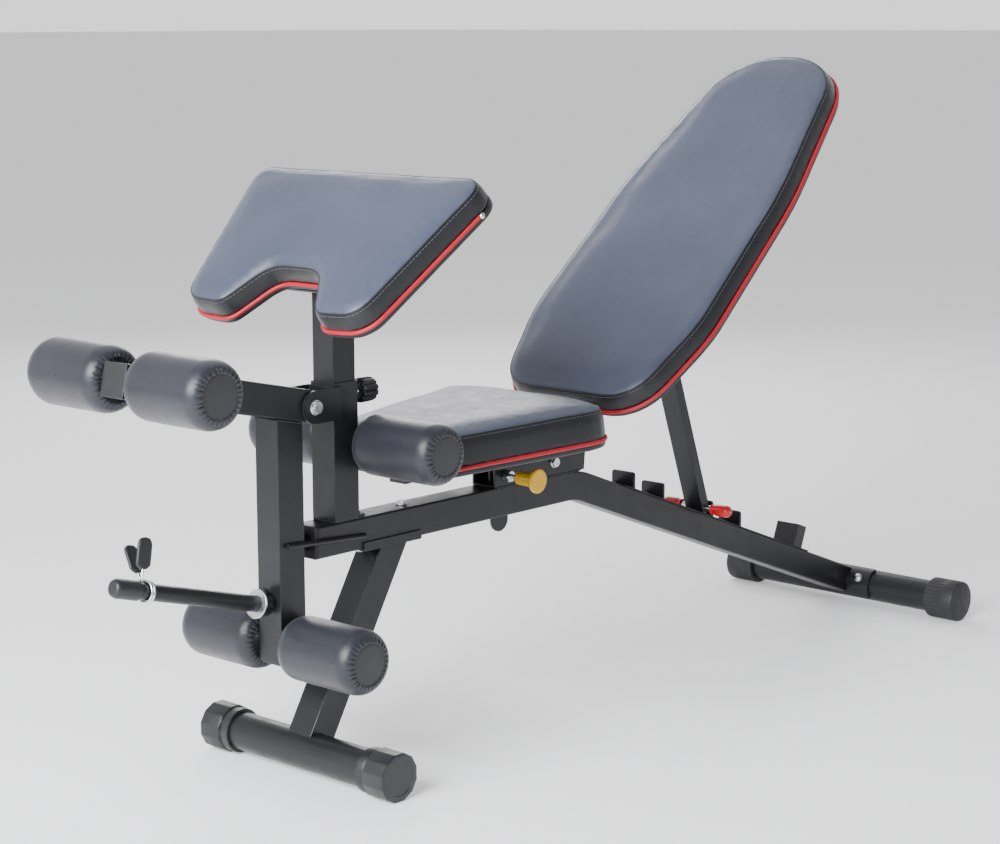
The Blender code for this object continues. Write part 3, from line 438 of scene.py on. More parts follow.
def weld_bead(name, start, end, body, radius=0.0016):
    """A rippled fillet of weld between two points."""
    start, end = Vector(start), Vector(end)
    steps = max(6, int((end - start).length / 0.0016))
    points = [start.lerp(end, i / steps) for i in range(steps + 1)]
    verts, faces = tube(points, radius, 8)
    for i in range(steps + 1):
        swell = 1.0 + 0.22 * math.sin(i * 2.1) + 0.10 * math.sin(i * 0.63 + start.x * 90)
        for k in range(8):
            index = i * 8 + k
            verts[index] = points[i] + (verts[index] - points[i]) * swell
    return finish_piece(mesh_object(name, verts, faces, STEEL), body, "frame_steel")


def side_welds(name, start, end, y, body="frame", radius=0.0016):
    """The same bead on both sides, between two places in x and z."""
    for side_name, side in SIDES:
        weld_bead(f"{name}_{side_name}", (start[0], side * y, start[1]), (end[0], side * y, end[1]), body, radius)


def welds():
    low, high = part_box("upright_sleeve")
    reach = 0.022
    for name, x in (("weld_sleeve_front", low.x), ("weld_sleeve_rear", high.x)):
        weld_bead(name, (x, -reach, low.z + 0.0006), (x, reach, low.z + 0.0006), "frame")
    low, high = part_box("developer_bracket")
    side_welds("weld_ear", (high.x, low.z + 0.002), (high.x, high.z - 0.002), 0.0262)
    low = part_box("seat_bracket")[0]
    side_welds("weld_seat_bracket", (low.x + 0.004, low.z), (low.x + 0.215, low.z), 0.0248)
    low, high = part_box("developer_lower_arm")
    rear_z = high.z - math.tan(ARM_RISE) * (high.x - low.x)
    side_welds("weld_arm", (low.x, high.z), (high.x, rear_z), 0.0246, "leg_developer")
    verts = frame["nodes"]["prop_ladder"].data.vertices
    along = sorted({round(v.co.x, 4) for v in verts if abs(v.co.y) > 0.02})
    first, last, inset = along[0], along[-1], 0.004
    top = max(v.co.z for v in verts if abs(v.co.x - first) < 0.001) - 0.0012
    side_welds("weld_ladder", (first + inset, top - BEAM_FALL * inset),
               (last - inset, top - BEAM_FALL * (last - inset - first)), 0.0243, radius=0.0013)


def steelwork():
    refined("main_beam", STEEL, "frame_steel", angle=20)
    for nodes, material, slot, bevel in (
            (("front_leg", "front_foot_tube", "rear_foot_tube", "rear_saddle", "arm_guide", "upright_sleeve",
              "developer_bracket", "developer_upper_arm", "developer_lower_arm", "weight_peg", "peg_socket",
              "seat_frame", "backrest_frame", "prop", "preacher_post"), STEEL, "frame_steel", 0.0),
            (("prop_ladder", "seat_bracket"), STEEL, "frame_steel", 0.0008),
            (("seat_roller_bar", "upper_roller_bar", "lower_roller_bar", "prop_rod"), TUBE_ZINC, "zinc_steel", 0.0),
            (("saddle_bolt_left", "saddle_bolt_right", "peg_flange"), ZINC, "zinc_steel", 0.0),
            (("arm_bumper",), RUBBER, "rubber", 0.0),
            (("developer_arm_plug", "peg_tip_cap"), BLACK_PLASTIC, "black_plastic", 0.0)):
        for node in nodes:
            refined(node, material, slot, bevel)
    welds()


# ---------------- fasteners and knobs

def six_sided(radius):
    """The wave that cuts six flats on a turned shape of this radius over its corners."""
    def wave(angle, i, r, h):
        sector = math.pi / 3
        flat = math.cos(sector / 2) / math.cos((angle % sector) - sector / 2)
        return min(r, radius * flat), h
    return wave


def hexagon(radius, low, high, chamfer):
    """A hexagonal prism from low to high whose upper corners are chamfered to a dome."""
    profile = [(0, low), (radius, low), (radius, high - chamfer), (radius * 0.93, high - chamfer * 0.45),
               (radius * 0.84, high), (0, high)]
    return revolve(profile, 36, six_sided(radius))


def through_bolt(node, direction):
    """A washer and head at one end, and a washer, lock nut and thread end at the other."""
    direction = Vector(direction)
    low, high, centre = measured(node)
    extent = high - low
    length = abs(extent.dot(direction))
    radius = sorted(extent)[0] / 2
    head = 0.26 * radius + 0.0035
    seat = length / 2 - head - 0.0004
    washer = [(0, seat), (radius, seat), (radius, seat + 0.0011), (radius * 0.97, seat + 0.0014),
              (0, seat + 0.0014)]
    flip = Matrix.Rotation(math.pi, 4, "X")
    nut_top = length / 2 - 0.0016
    collar = [(radius * 0.62, nut_top - 0.0006), (radius * 0.60, nut_top + 0.0008), (radius * 0.50, nut_top + 0.0012),
              (radius * 0.46, nut_top + 0.0006), (0, nut_top + 0.0006)]
    shank = radius * 0.50
    parts = [revolve(washer, 36), hexagon(radius * 0.90, seat + 0.0014, length / 2, 0.0012),
             placed(revolve(washer, 36), flip),
             placed(hexagon(radius * 0.90, seat + 0.0014, nut_top, 0.0010), flip),
             placed(revolve(collar, 36), flip),
             revolve([(0, -seat), (shank, -seat), (shank, seat), (0, seat)], 24)]
    obj = merge(f"{node}_finished", parts, ZINC, aim(centre, direction), 30)
    return finish_piece(obj, body_of_node(node), "zinc_steel", node)


def hex_nut(node, direction, bore):
    low, high, centre = measured(node)
    extent = high - low
    half = abs(extent.dot(Vector(direction))) / 2
    radius = max(e for e, d in zip(extent, direction) if not d) / 2
    profile = [(bore, -half), (radius * 0.86, -half), (radius, -half + 0.0010), (radius, half - 0.0010),
               (radius * 0.86, half), (bore, half), (bore, -half)]
    turned_piece(f"{node}_finished", profile, 36, ZINC, aim(centre, direction), 30, "frame", "zinc_steel", node,
                 wave=six_sided(radius))


def lock_knob():
    """A star knob with ten finger flutes, a moulded cap line and a steel screw."""
    low, high, centre = measured("lock_knob")
    radius = (high.y - low.y) / 2
    back = high.x - 0.032

    def wave(angle, i, r, h):
        depth = 0.0032 if 2 <= i <= 9 else 0.0
        flute = max(0.0, math.cos(10 * angle)) ** 1.6
        return r - depth * flute, h
    profile = [(0, 0.0), (radius * 0.45, 0.0), (radius * 0.80, 0.0005), (radius * 0.95, 0.0024), (radius, 0.0052),
               (radius, 0.0100), (radius * 0.995, 0.0180), (radius * 0.985, 0.0245), (radius * 0.93, 0.0290),
               (radius * 0.84, 0.0310), (radius * 0.70, 0.0316), (radius * 0.66, 0.0308), (0, 0.0308)]
    turned_piece("lock_knob_finished", profile, 120, BLACK_PLASTIC, aim((back, centre.y, centre.z), (1, 0, 0)), 50,
                 "lock_knob", "black_plastic", "lock_knob", wave=wave)
    reach = back - low.x
    thread = [(0, 0), (0.0038, 0.0)]
    pitch = 0.00125
    for k in range(int(reach / pitch)):
        thread += [(0.0042, k * pitch + pitch * 0.35), (0.0037, k * pitch + pitch * 0.85)]
    thread += [(0.0040, reach), (0, reach)]
    turned_piece("lock_knob_screw", thread, 24, ZINC, aim((low.x, centre.y, centre.z), (1, 0, 0)), 60,
                 "lock_knob", "zinc_steel")


def pull_pin():
    """The flared yellow knob with a parting ring, and its steel pin."""
    low, high, centre = measured("pull_pin")
    end = high.y - low.y
    radius = (high.x - low.x) / 2
    base = end - 0.045
    profile = [(0, base), (0.0095, base), (0.0108, base + 0.0010), (0.0112, base + 0.0030), (0.0108, base + 0.0045),
               (0.0112, base + 0.0060), (0.0114, end - 0.0240), (0.0118, end - 0.0180), (0.0132, end - 0.0120),
               (0.0165, end - 0.0080), (radius - 0.0006, end - 0.0062), (radius, end - 0.0050),
               (radius, end - 0.0016), (radius - 0.0010, end - 0.0004), (radius - 0.0024, end),
               (radius * 0.70, end - 0.0003), (radius * 0.35, end - 0.0008), (0, end - 0.0009)]
    matrix = aim((centre.x, high.y, centre.z), (0, -1, 0))
    turned_piece("pull_pin_finished", profile, 72, YELLOW, matrix, 60, "pull_pin", "yellow_plastic", "pull_pin")
    shank = [(0, 0), (0.0030, 0), (0.0040, 0.0012), (0.0040, base), (0, base)]
    turned_piece("pull_pin_shank", shank, 32, ZINC, matrix, 40, "pull_pin", "zinc_steel")


def red_grips():
    """Dipped vinyl grips with a rolled rim and a domed end."""
    for side_name, side in SIDES:
        node = f"prop_grip_{side_name}"
        low, high, centre = measured(node)
        radius = (high.x - low.x) / 2
        length = high.y - low.y
        start = low.y if side > 0 else high.y
        profile = [(0.0063, 0.0), (0.0085, 0.0), (0.0098, 0.0008), (0.0101, 0.0022), (0.0094, 0.0034),
                   (0.0092, 0.0048), (radius - 0.0008, 0.0085), (radius, 0.0120), (radius, length - 0.0085),
                   (radius - 0.0004, length - 0.0050), (radius - 0.0022, length - 0.0018),
                   (radius - 0.0052, length - 0.0003), (0, length)]
        turned_piece(f"{node}_finished", profile, 48, RED_GRIP, aim((centre.x, start, centre.z), (0, side, 0)), 60,
                     "prop", "red_grip", node)


def front_cap(radius, length, bore):
    """A cap of twelve facets with a plain collar."""
    def wave(angle, i, r, h):
        if not 5 <= i <= 8:
            return r, h
        sector = math.pi / 6
        lean = ((angle + sector / 2) % sector) - sector / 2
        return r * min(1.03, 1 / math.cos(lean)), h
    profile = [(bore, 0.0), (radius - 0.0032, 0.0), (radius - 0.0018, 0.0012), (radius - 0.0018, 0.0150),
               (radius - 0.0026, 0.0170), (radius - 0.0006, 0.0185), (radius, 0.0200), (radius, length - 0.0022),
               (radius - 0.0016, length - 0.0006), (radius - 0.0045, length), (radius - 0.0090, length),
               (radius - 0.0096, length - 0.0008), (0, length - 0.0008)]
    return revolve(profile, 144, wave)


def rear_cap(radius, length, bore):
    """A round cap with 36 grip ribs."""
    def wave(angle, i, r, h):
        if not 3 <= i <= 6:
            return r, h
        rib = max(0.0, math.cos(36 * angle)) ** 0.6
        return r - 0.0010 * (1 - rib) * (1.0 if i < 6 else 0.2), h
    profile = [(bore, 0.0), (radius - 0.0024, 0.0), (radius - 0.0006, 0.0010), (radius, 0.0024), (radius, 0.0200),
               (radius, 0.0330), (radius, 0.0350), (radius, 0.0380), (radius, length - 0.0040),
               (radius - 0.0012, length - 0.0012), (radius - 0.0040, length), (0, length)]
    return revolve(profile, 216, wave)


def foot_caps():
    for side_name, side in SIDES:
        for foot, shape, material, slot in (("front", front_cap, BLACK_PLASTIC, "black_plastic"),
                                            ("rear", rear_cap, RUBBER, "rubber")):
            node = f"{foot}_foot_cap_{side_name}"
            low, high, centre = measured(node)
            start = (centre.x, low.y if side > 0 else high.y, centre.z)
            verts, faces = shape(centre.z, high.y - low.y, 0.0302)
            cap = mesh_object(f"{node}_finished", verts, faces, material, aim(start, (0, side, 0)), 32)
            finish_piece(cap, "frame", slot, node)


def lower_arm_plug():
    """A square plug with round corners in the lower arm's foot."""
    low, high, centre = measured("developer_lower_arm")
    edge = (high.x - low.x) / 2 - 0.0012
    rounds = [(edge, -0.0002), (edge - 0.0004, -0.0018), (edge - 0.0020, -0.0026)]
    verts = []
    count = 32
    for reach, z in rounds:
        for k in range(count):
            angle = 2 * math.pi * (k + 0.5) / count
            square = 1 / (abs(math.cos(angle)) ** 14 + abs(math.sin(angle)) ** 14) ** (1 / 14)
            verts.append(Vector((reach * square * math.cos(angle), reach * square * math.sin(angle), z)))
    faces = bands(count, len(rounds)) + [tuple(range(2 * count, 3 * count)), tuple(range(count))]
    plug = mesh_object("developer_foot_plug", verts, faces, BLACK_PLASTIC,
                       Matrix.Translation((centre.x, centre.y, low.z)), 50)
    finish_piece(plug, "leg_developer", "black_plastic")


def spring_collar():
    """The collar's chromed wire and its two paddle grips, wound as in the CAD model."""
    coil_r, wire_r, pitch, reach = 0.0156, 0.0020, 0.0046, 0.031
    leg, sweep, turned = 16, 150, 24
    grip_width, grip_thick, grip_long = 0.0255, 0.0068, 0.046
    fixed_turns = 2 + leg / 180
    along = Vector((-math.cos(PEG_RISE), 0, math.sin(PEG_RISE)))
    peg_low, peg_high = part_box("weight_peg")
    peg_radius = (peg_high.y - peg_low.y) / 2
    peg_tip = Vector((peg_low.x + peg_radius * math.sin(PEG_RISE), 0, peg_high.z - peg_radius * math.cos(PEG_RISE)))
    origin = peg_tip - along * COLLAR_FROM_TIP
    turn = Matrix.Translation(origin) @ Matrix.Rotation(PEG_RISE, 4, "Y")
    turn @= Matrix.Rotation(-math.radians(turned), 4, "X")

    def ring(angle, radius, x):
        lean = math.radians(angle)
        return Vector((x, -math.sin(lean) * radius, math.cos(lean) * radius))

    def wire(name, start_turn, first, last, body, node):
        steps = round(abs(last - first) / 7)
        points = []
        for i in range(steps + 1):
            angle = first + (last - first) * i / steps
            points.append(ring(angle, coil_r, -(start_turn + abs(angle - first) / 360) * pitch))
        end_x = points[-1].x
        points += [ring(last, r, end_x) for r in (coil_r + 0.0015, coil_r + 0.004, reach - 0.004, reach + 0.008)]
        obj = mesh_object(name, *tube(points, wire_r, 12), CHROME_WIRE, turn, 50)
        return finish_piece(obj, body, "zinc_steel", node)

    def paddle():
        """A flat grip with a domed end and shoulders that taper to the wire."""
        def wave(angle, i, r, h):
            thick = grip_thick / 2 * min(1.0, r / (grip_width * 0.2))
            x, y = abs(math.cos(angle)) / max(r, 1e-6), abs(math.sin(angle)) / max(thick, 1e-6)
            return (x ** 4 + y ** 4) ** -0.25, h
        rows = 26
        profile = [(0.0, 0.0)]
        for i in range(rows + 1):
            t = i / rows
            shoulder_in = min(1.0, 0.35 + 0.65 * (t / 0.14) ** 0.8)
            dome = math.sqrt(max(0.0, 1 - max(0.0, (t - 0.72) / 0.28) ** 2.2))
            profile.append((max(grip_width / 2 * shoulder_in * dome, 0.0008), t * grip_long))
        profile.append((0.0, grip_long))
        verts, faces = revolve(profile, 48, wave)
        return [v - Vector((0, 0, grip_long / 2)) for v in verts], faces

    wire("collar_coil_finished", 0.0, 2 * 360 + leg, -leg, "collar", "collar_coil")
    wire("collar_lever_wire_finished", fixed_turns + 0.94, leg - sweep, leg, "collar_lever", "collar_lever_wire")
    lever_x = -(fixed_turns + 0.94 + sweep / 360) * pitch
    for node, body, angle, x in (("collar_grip", "collar", -leg, -fixed_turns * pitch),
                                 ("collar_lever_grip", "collar_lever", leg, lever_x)):
        stand = Matrix.Translation(ring(angle, reach + 0.0003 + grip_long / 2, x))
        place = turn @ stand @ Matrix.Rotation(math.radians(angle), 4, "X")
        obj = mesh_object(f"{node}_finished", *paddle(), BLACK_PLASTIC, place, 60)
        finish_piece(obj, body, "black_plastic", node)


def small_parts():
    for node in ("developer_pivot_bolt", "seat_pivot_bolt", "backrest_pivot_bolt", "prop_pivot_bolt"):
        through_bolt(node, (0, -1, 0))
    for node in ("frame_bolt_front", "frame_bolt_rear"):
        through_bolt(node, (0, 0, 1))
    hex_nut("lock_knob_nut", (1, 0, 0), 0.0046)
    hex_nut("pull_pin_nut", (0, -1, 0), 0.0043)
    lock_knob()
    pull_pin()
    red_grips()
    foot_caps()
    lower_arm_plug()
    spring_collar()


# ---------------- foam rollers

def foam_roller(name, number):
    """A foam tube in leatherette: its cover is gathered into fine pleats round a flat disc at each end."""
    low, high, centre = measured(name)
    radius = (high.z - low.z) / 2 + 0.0008
    length = high.y - low.y
    side = 1 if centre.y > 0 else -1
    phase = number * GOLDEN
    disc = radius * 0.66
    shoulder = 0.024
    smooth_from = radius * 0.93        # the pleats have run out here
    steps = 18

    def bend(t, base, grow):
        """A quarter ellipse from the disc's rim out to the full radius."""
        angle = t * math.pi / 2
        return disc + (radius - disc) * math.sin(angle), base + grow * (1 - math.cos(angle))
    profile = [(0.0129, 0.0035), (disc * 0.88, 0.0022), (disc * 0.97, 0.0010)]
    profile += [bend(i / steps, 0.0, shoulder) for i in range(steps + 1)]
    profile += [(radius, shoulder + (length - 2 * shoulder) * i / 22) for i in range(1, 22)]
    profile += [bend(1 - i / steps, length, -shoulder) for i in range(steps + 1)]
    profile += [(disc * 0.97, length - 0.0010), (disc * 0.88, length - 0.0024), (0, length - 0.0024)]

    def wave(angle, i, r, h):
        end = 1 if h > length / 2 else -1
        around = Vector((math.cos(angle), math.sin(angle), 0))
        jitter = noise.noise(around * 2.2 + Vector((phase, 0, end * 5.0)))
        gather = min(1.0, max(0.0, (smooth_from - r) / (smooth_from - disc)))
        gather *= gather * (3 - 2 * gather) * min(1.0, max(0.0, (r - disc * 0.9) / (disc * 0.1)))
        crease = (1 - abs(math.sin(PLEATS / 2 * angle + 1.3 * jitter + phase))) ** 2.2
        depth = 0.0030 * gather * crease * (1.0 + 0.5 * jitter)
        slack = noise.noise(around * 1.4 + Vector((phase, 0, h * 14.0)))
        shape = 0.0006 * slack * (1 - gather)
        return r - 0.35 * depth + shape, h - end * (depth - 0.0006 * gather)
    matrix = aim((centre.x, low.y if side > 0 else high.y, centre.z), (0, side, 0))
    cover = turned_piece(f"{name}_cover", profile, 8 * PLEATS, ROLLER_COVER, matrix, 85, name, "roller_cover", name,
                         wave=wave)
    rim = length - 0.0014
    plate = [(0, rim + 0.0006), (disc * 0.85, rim + 0.0004), (disc * 0.95, rim), (disc * 0.99, rim - 0.0009),
             (disc * 0.97, rim - 0.0022), (0, rim - 0.0024)]
    turned_piece(f"{name}_disc", plate, 96, DISC_COVER, matrix, 60, name, "roller_cover")


# ---------------- pads

def outline_of(mesh):
    """The closed loop round the mesh's lowest flat face, as 2-D points, and that face's height."""
    bm = bmesh.new()
    bm.from_mesh(mesh)
    bmesh.ops.remove_doubles(bm, verts=bm.verts, dist=5e-6)
    base = min(v.co.z for v in bm.verts)
    flat = {f for f in bm.faces if all(v.co.z < base + 1e-4 for v in f.verts)}
    rim = [e for e in bm.edges if len([f for f in e.link_faces if f in flat]) == 1]
    links = {}
    for edge in rim:
        first, second = edge.verts
        links.setdefault(first, []).append(second)
        links.setdefault(second, []).append(first)
    start = here = min(links, key=lambda v: (round(v.co.x, 5), v.co.y))
    loop, before = [], None
    while True:
        loop.append(here.co.xy.copy())
        following = [v for v in links[here] if v != before]
        here, before = following[0], here
        if here == start:
            break
    bm.free()
    area = sum(a.x * b.y - b.x * a.y for a, b in pairs(loop))
    return (loop if area > 0 else loop[::-1]), base


def resampled(loop, pitch):
    """A closed loop rounded by two passes of corner cutting, with points at an even pitch."""
    for _ in range(2):
        cut = []
        for a, b in pairs(loop):
            reach = min(0.25, 0.006 / max((b - a).length, 1e-6))
            cut += [a.lerp(b, reach), a.lerp(b, 1 - reach)]
        loop = cut
    lengths = [(b - a).length for a, b in pairs(loop)]
    total = sum(lengths)
    count = round(total / pitch)
    points, index, gone = [], 0, 0.0
    for k in range(count):
        target = total * k / count
        while gone + lengths[index] < target:
            gone += lengths[index]
            index += 1
        a, b = loop[index], loop[(index + 1) % len(loop)]
        points.append(a.lerp(b, (target - gone) / lengths[index]))
    return points


def normals_of(loop):
    """Outward normals of a loop that runs anticlockwise."""
    count = len(loop)
    found = []
    for i in range(count):
        along = (loop[(i + 1) % count] - loop[i - 1]).normalized()
        found.append(Vector((along.y, -along.x)))
    return found


def taut(mesh, shift):
    """Most of each point's inward pull taken out, because firm foam holds the cover's shape."""
    outward = np.array([v.normal for v in mesh.vertices])
    along = np.minimum(0, (shift * outward).sum(axis=1, keepdims=True))
    return shift - outward * along * 0.85


def even_out(mesh, field, passes):
    """A vector for each point, averaged with its neighbours' a number of times."""
    edges = np.array([e.vertices[:] for e in mesh.edges])
    count = np.bincount(edges.ravel(), minlength=len(field))[:, None]
    for _ in range(passes):
        total = np.zeros_like(field)
        np.add.at(total, edges[:, 0], field[edges[:, 1]])
        np.add.at(total, edges[:, 1], field[edges[:, 0]])
        field = 0.4 * field + 0.6 * total / np.maximum(count, 1)
    return field


def swell(obj, base, cap):
    """Blow the pad up a little as cloth, held along its base, and keep each point within cap of its start."""
    rest = np.array([v.co for v in obj.data.vertices])
    held = [i for i, z in enumerate(rest[:, 2]) if z < base + 0.012]
    group = obj.vertex_groups.new(name="held")
    group.add(held, 1.0, "REPLACE")
    cloth = obj.modifiers.new("swell", "CLOTH")
    settings = cloth.settings
    settings.quality = 4
    settings.mass = 0.3
    settings.tension_stiffness = 14
    settings.compression_stiffness = 14
    settings.shear_stiffness = 6
    settings.bending_stiffness = 1.2
    settings.use_pressure = True
    settings.uniform_pressure_force = 4.0
    settings.vertex_group_mass = "held"
    settings.effector_weights.gravity = 0
    cloth.collision_settings.use_collision = False
    cloth.point_cache.frame_start = 1
    cloth.point_cache.frame_end = SWELL_FRAMES
    for number in range(1, SWELL_FRAMES + 1):
        bpy.context.scene.frame_set(number)
    blown = evaluated_mesh(obj)
    moved = np.array([v.co for v in blown.vertices])
    obj.modifiers.clear()
    shift = even_out(obj.data, taut(obj.data, moved - rest), SHIFT_PASSES)
    reach = np.linalg.norm(shift, axis=1, keepdims=True)
    scale = cap * np.tanh(reach / cap) / np.maximum(reach, 1e-9)
    obj.data.vertices.foreach_set("co", (rest + shift * scale).ravel())
    obj.data.update()
    bpy.context.scene.frame_set(1)


def pad(name, rise, cap):
    """A cushion grown from its CAD solid, with an upper seam, stitches, red piping and a wrapped board."""
    turn = Matrix.Rotation(-rise, 4, "Y")
    mesh = frame["nodes"][f"{name}_pad"].data.copy()
    mesh.transform(turn.inverted())
    loop, base = outline_of(mesh)
    top = max(v.co.z for v in mesh.vertices)
    seam = top - SEAM_DROP
    place = turn @ Matrix.Translation((0, 0, seam))
    mesh.transform(Matrix.Translation((0, 0, -seam)))
    base -= seam
    top -= seam
    obj = add(f"{name}_cushion", mesh, PAD_COVER, place, 60)
    shrink_pad(obj, base, top)
    remesh = obj.modifiers.new("even", "REMESH")
    remesh.mode = "VOXEL"
    remesh.voxel_size = VOXEL
    apply_modifiers(obj)
    swell(obj, base, cap)
    crown(obj, base, top, loop, name)
    smooth = obj.modifiers.new("fine", "SUBSURF")
    smooth.levels = 1
    smooth.render_levels = 1
    apply_modifiers(obj)
    obj.data.materials.clear()
    obj.data.materials.append(PAD_COVER)
    obj.data.shade_smooth()
    finish_piece(obj, name, "pad_cover", f"{name}_pad")
    seams(obj, name, loop, base, place)
    board(name, loop, place)


def shrink_pad(obj, base, top):
    """Draw the start shape in a little, most at the top, because the cloth swells."""
    with editing(obj.data) as bm:
        bmesh.ops.remove_doubles(bm, verts=bm.verts, dist=5e-6)
        bm.normal_update()
        for vert in bm.verts:
            lift = (vert.co.z - base) / (top - base)
            aside = Vector((vert.normal.x, vert.normal.y, 0))
            if aside.length > 0.2:
                vert.co -= aside.normalized() * (0.0004 + 0.0012 * lift)
            vert.co.z -= 0.0025 * lift


def crown(obj, base, top, loop, name):
    """Lift the middle of the pad, hollow it slightly where it is sat on, and pucker it along the seam."""
    xs = [p.x for p in loop]
    ys = [abs(p.y) for p in loop]
    middle = (min(xs) + max(xs)) / 2
    half_x = (max(xs) - min(xs)) / 2
    half_y = max(ys)
    for vert in obj.data.vertices:
        co = vert.co
        lift = max(0.0, min(1.0, (co.z - base) / (top - base)))
        u = (co.x - middle) / half_x
        v = co.y / half_y
        dome = max(0.0, 1 - abs(u) ** 3.2) * max(0.0, 1 - abs(v) ** 2.6)
        slack = noise.noise(Vector((co.x * 9 + len(name), co.y * 9, 0.5))) * 0.0007
        co.z += lift ** 3 * (0.0022 * dome + slack)
        if co.z < -0.001 and co.z > base + 0.004:
            pucker = noise.noise(Vector((co.x * 85, co.y * 85, co.z * 25))) * 0.0004
            co.y += math.copysign(pucker, co.y)


def seams(obj, name, loop, base, place):
    """The welt and stitches of the upper seam, found on the swollen surface, and the piping at the base."""
    tree = BVHTree.FromObject(obj, bpy.context.evaluated_depsgraph_get())
    points = resampled(loop, 0.004)
    outward = normals_of(points)

    def on_surface(height, lift):
        """The outline moved onto the cover at a height, its insets evened out along it."""
        insets = []
        for point, normal in zip(points, outward):
            start = Vector((point.x + normal.x * 0.02, point.y + normal.y * 0.02, height))
            gone = tree.ray_cast(start, Vector((-normal.x, -normal.y, 0)), 0.035)[3]
            insets.append(gone - 0.02 if gone is not None else 0.002)
        count = len(points)
        middles = [sorted(insets[(i + k) % count] for k in range(-3, 4))[3] for i in range(count)]
        ring = []
        for i, (point, normal) in enumerate(zip(points, outward)):
            inset = sum(middles[(i + k) % count] for k in range(-2, 3)) / 5 - lift
            ring.append(Vector((point.x - normal.x * inset, point.y - normal.y * inset, height)))
        return ring
    welt = mesh_object(f"{name}_seam_welt", *tube(on_surface(0.0, 0.0001), 0.0011, 8, True), SIDE_COVER, place, 80)
    finish_piece(welt, name, "pad_back")
    stitches = []
    ring = on_surface(-0.0034, 0.0001)
    count = int(sum((b - a).length for a, b in pairs(ring)) / STITCH_PITCH)
    for k in range(count):
        position = len(ring) * k / count
        i = int(position)
        a = ring[i].lerp(ring[(i + 1) % len(ring)], position - i)
        b = ring[i].lerp(ring[(i + 1) % len(ring)], position - i + 1.0)
        middle = (a + b) / 2
        aside = Vector((outward[i].x, outward[i].y, 0)) * 0.00035
        stitches.append(tube([a - aside, a.lerp(middle, 0.4) + aside, b.lerp(middle, 0.4) + aside, b - aside],
                             0.00045, 5))
    thread = merge(f"{name}_stitches", stitches, THREAD, place, 80)
    finish_piece(thread, name, "pad_back")
    rope = [Vector((p.x + n.x * 0.0002, p.y + n.y * 0.0002, base + 0.0002)) for p, n in zip(points, outward)]
    closed = name != "preacher"
    if not closed:
        rope = open_at_rear(rope, max(p.x for p in rope) - PREACHER_PIPING_GAP)
        studs = []
        for end, inner in ((rope[0], rope[1]), (rope[-1], rope[-2])):
            aside = Vector((0, math.copysign(1, end.y), 0))
            head = [(0.0048, 0), (0.0047, 0.0008), (0.0038, 0.0022), (0.0020, 0.0031), (0, 0.0034)]
            spot = end + (end - inner).normalized() * 0.002 + aside * (PIPING_R - 0.0010)
            studs.append(placed(revolve([(0, 0)] + head, 24), aim(spot, aside)))
        finish_piece(merge(f"{name}_piping_studs", studs, CHROME_WIRE, place, 60), name, "zinc_steel")
    piping = mesh_object(f"{name}_piping", *tube(rope, PIPING_R, 12, closed), RED_PIPING, place, 80)
    finish_piece(piping, name, "red_grip")


def open_at_rear(loop, limit):
    """The part of a closed loop that lies ahead of limit along X, as one run of points."""
    count = len(loop)
    first = next(i for i in range(count) if loop[i - 1].x > limit >= loop[i].x)
    run = []
    for i in range(count):
        point = loop[(first + i) % count]
        if point.x > limit:
            break
        run.append(point)
    return run


def board(name, loop, place):
    """The plywood board's wrapped edge, the folded flange under it, its dust cover and staples."""
    node = f"{name}_board"
    mesh = frame["nodes"][node].data.copy()
    mesh.transform(place.inverted())
    heights = [v.co.z for v in mesh.vertices]
    low, high = min(heights), max(heights)
    points = resampled(loop, 0.005)
    outward = normals_of(points)
    rings = [(0.0040, high), (0.0006, high - 0.0006), (0.0, high - 0.0020), (0.0, low + 0.0040),
             (0.0008, low + 0.0016), (0.0028, low + 0.0003), (0.0060, low), (0.0200, low), (0.0215, low + 0.0006)]
    verts = []
    count = len(points)
    for r, (inset, height) in enumerate(rings):
        for i, (point, normal) in enumerate(zip(points, outward)):
            ripple = noise.noise(Vector((point.x * 60, point.y * 60, r * 0.7 + len(name))))
            ragged = 0.0016 * ripple if r >= 7 else 0.00035 * ripple
            sag = 0.0003 * ripple if r >= 5 else 0.0
            spot = point - normal * (inset + ragged)
            verts.append(Vector((spot.x, spot.y, height + sag)))
    wrap = mesh_object(f"{name}_board_wrap", verts, bands(count, len(rings)), SIDE_COVER, place, 60)
    finish_piece(wrap, name, "pad_back", node)
    sheet = [Vector((p.x - n.x * 0.0150, p.y - n.y * 0.0150, low + 0.0009)) for p, n in zip(points, outward)]
    roof = [v + Vector((0, 0, 0.0020)) for v in sheet]
    faces = [tuple(range(count)), tuple(range(count, 2 * count))] + bands(count, 2)
    cover = mesh_object(f"{name}_dust_cover", sheet + roof, faces, DUST_COVER, place, 60)
    finish_piece(cover, name, "pad_back")
    staples = []
    for i in range(0, count, 8):
        along = (points[(i + 1) % count] - points[i]).normalized()
        spot = points[i] - outward[i] * 0.0130
        half = Vector((along.x, along.y, 0)) * 0.0048
        middle = Vector((spot.x, spot.y, low - 0.0003))
        down = Vector((0, 0, 0.0012))
        staples.append(tube([middle - half + down, middle - half, middle + half, middle + half + down], 0.00045, 5))
    finish_piece(merge(f"{name}_staples", staples, ZINC, place, 60), name, "zinc_steel")


# ---------------- stage, light and camera

def stage():
    bpy.ops.mesh.primitive_plane_add(size=400, location=(0, 0, 0))
    floor = bpy.context.active_object
    floor.name = "floor"
    made = Shader("floor_paper", (0.93, 0.935, 0.94), 0.8,
                  Emission_Color=(1.0, 1.0, 1.0, 1), Emission_Strength=0.24)
    made.bump((made.noise(40.0, 3.0), 0.0004, 0.1))
    floor.data.materials.append(made.material)


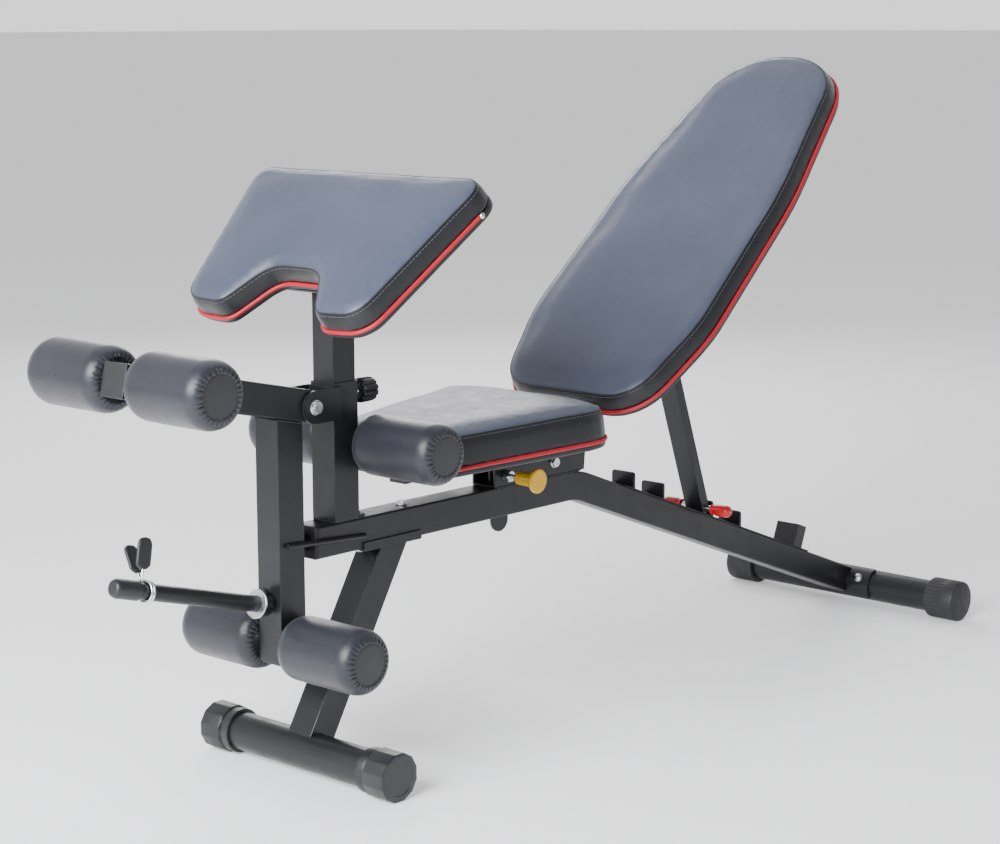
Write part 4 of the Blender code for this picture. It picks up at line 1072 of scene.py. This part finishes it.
def studio_world():
    """A white surround that is dimmer on the bench's left and overhead, so that those faces stay dark."""
    world = bpy.data.worlds.new("studio")
    bpy.context.scene.world = world
    world.use_nodes = True
    tree = world.node_tree
    background = tree.nodes["Background"]
    background.inputs["Color"].default_value = (0.97, 0.98, 1.0, 1)
    place = tree.nodes.new("ShaderNodeTexCoord")
    parts = tree.nodes.new("ShaderNodeSeparateXYZ")
    tree.links.new(place.outputs["Generated"], parts.inputs["Vector"])
    product = tree.nodes.new("ShaderNodeMath")
    product.operation = "MULTIPLY"
    for slot, axis, limits in ((0, "Y", (-0.75, 0.15, 0.35, 1.4)), (1, "Z", (0.25, 0.95, 1.0, 0.35))):
        tree.links.new(map_range(tree, parts.outputs[axis], *limits), product.inputs[slot])
    tree.links.new(product.outputs["Value"], background.inputs["Strength"])


def area_light(name, location, target, size, energy, colour=(1, 1, 1)):
    data = bpy.data.lights.new(name, "AREA")
    data.shape = "RECTANGLE"
    data.size, data.size_y = size
    data.energy = energy
    data.color = colour
    light = bpy.data.objects.new(name, data)
    bpy.context.scene.collection.objects.link(light)
    light.matrix_world = aim(location, Vector(location) - Vector(target))


def lights():
    middle = (0.0, 0.0, 0.45)
    area_light("key", (-3.6, -0.5, 2.2), middle, (2.4, 1.8), 360, (0.94, 0.97, 1.0))
    area_light("top", (0.4, 0.5, 3.8), middle, (3.0, 2.4), 30)
    area_light("fill", (-1.0, -4.0, 1.6), middle, (2.4, 1.8), 14)
    area_light("rear", (2.6, 3.0, 2.2), middle, (2.2, 1.4), 60)


def camera():
    """From ahead of the bench and its left, looking 42.45 degrees off +X and 9.85 degrees down."""
    yaw, pitch, roll = math.radians(42.45), math.radians(9.85), math.radians(-0.15)
    forward = Vector((math.cos(pitch) * math.cos(yaw), math.cos(pitch) * math.sin(yaw), -math.sin(pitch)))
    level = Vector((math.sin(yaw), -math.cos(yaw), 0))
    upward = level.cross(forward)
    right = level * math.cos(roll) + upward * math.sin(roll)
    up = upward * math.cos(roll) - level * math.sin(roll)
    data = bpy.data.cameras.new("camera")
    data.sensor_width = 36
    data.lens = 83.38
    obj = bpy.data.objects.new("camera", data)
    bpy.context.scene.collection.objects.link(obj)
    turn = Matrix((right, up, -forward)).transposed().to_4x4()
    front_foot = measured("front_foot_tube")[2]
    turn.translation = (front_foot.x - 2.3224, -2.5314, 1.1414)
    obj.matrix_world = turn
    bpy.context.scene.camera = obj


camera()
stage()
studio_world()
lights()
steelwork()
small_parts()
ROLLERS = [f"{place}_roller_{side}" for place in ("seat", "upper", "lower") for side in ("left", "right")]
for number, roller in enumerate(ROLLERS):
    foam_roller(roller, number)
for name, rise, cap in (("seat", SEAT_RISE, 0.008), ("backrest", BACK_RISE, 0.007),
                        ("preacher", PREACHER_RISE, 0.007)):
    pad(name, rise, cap)
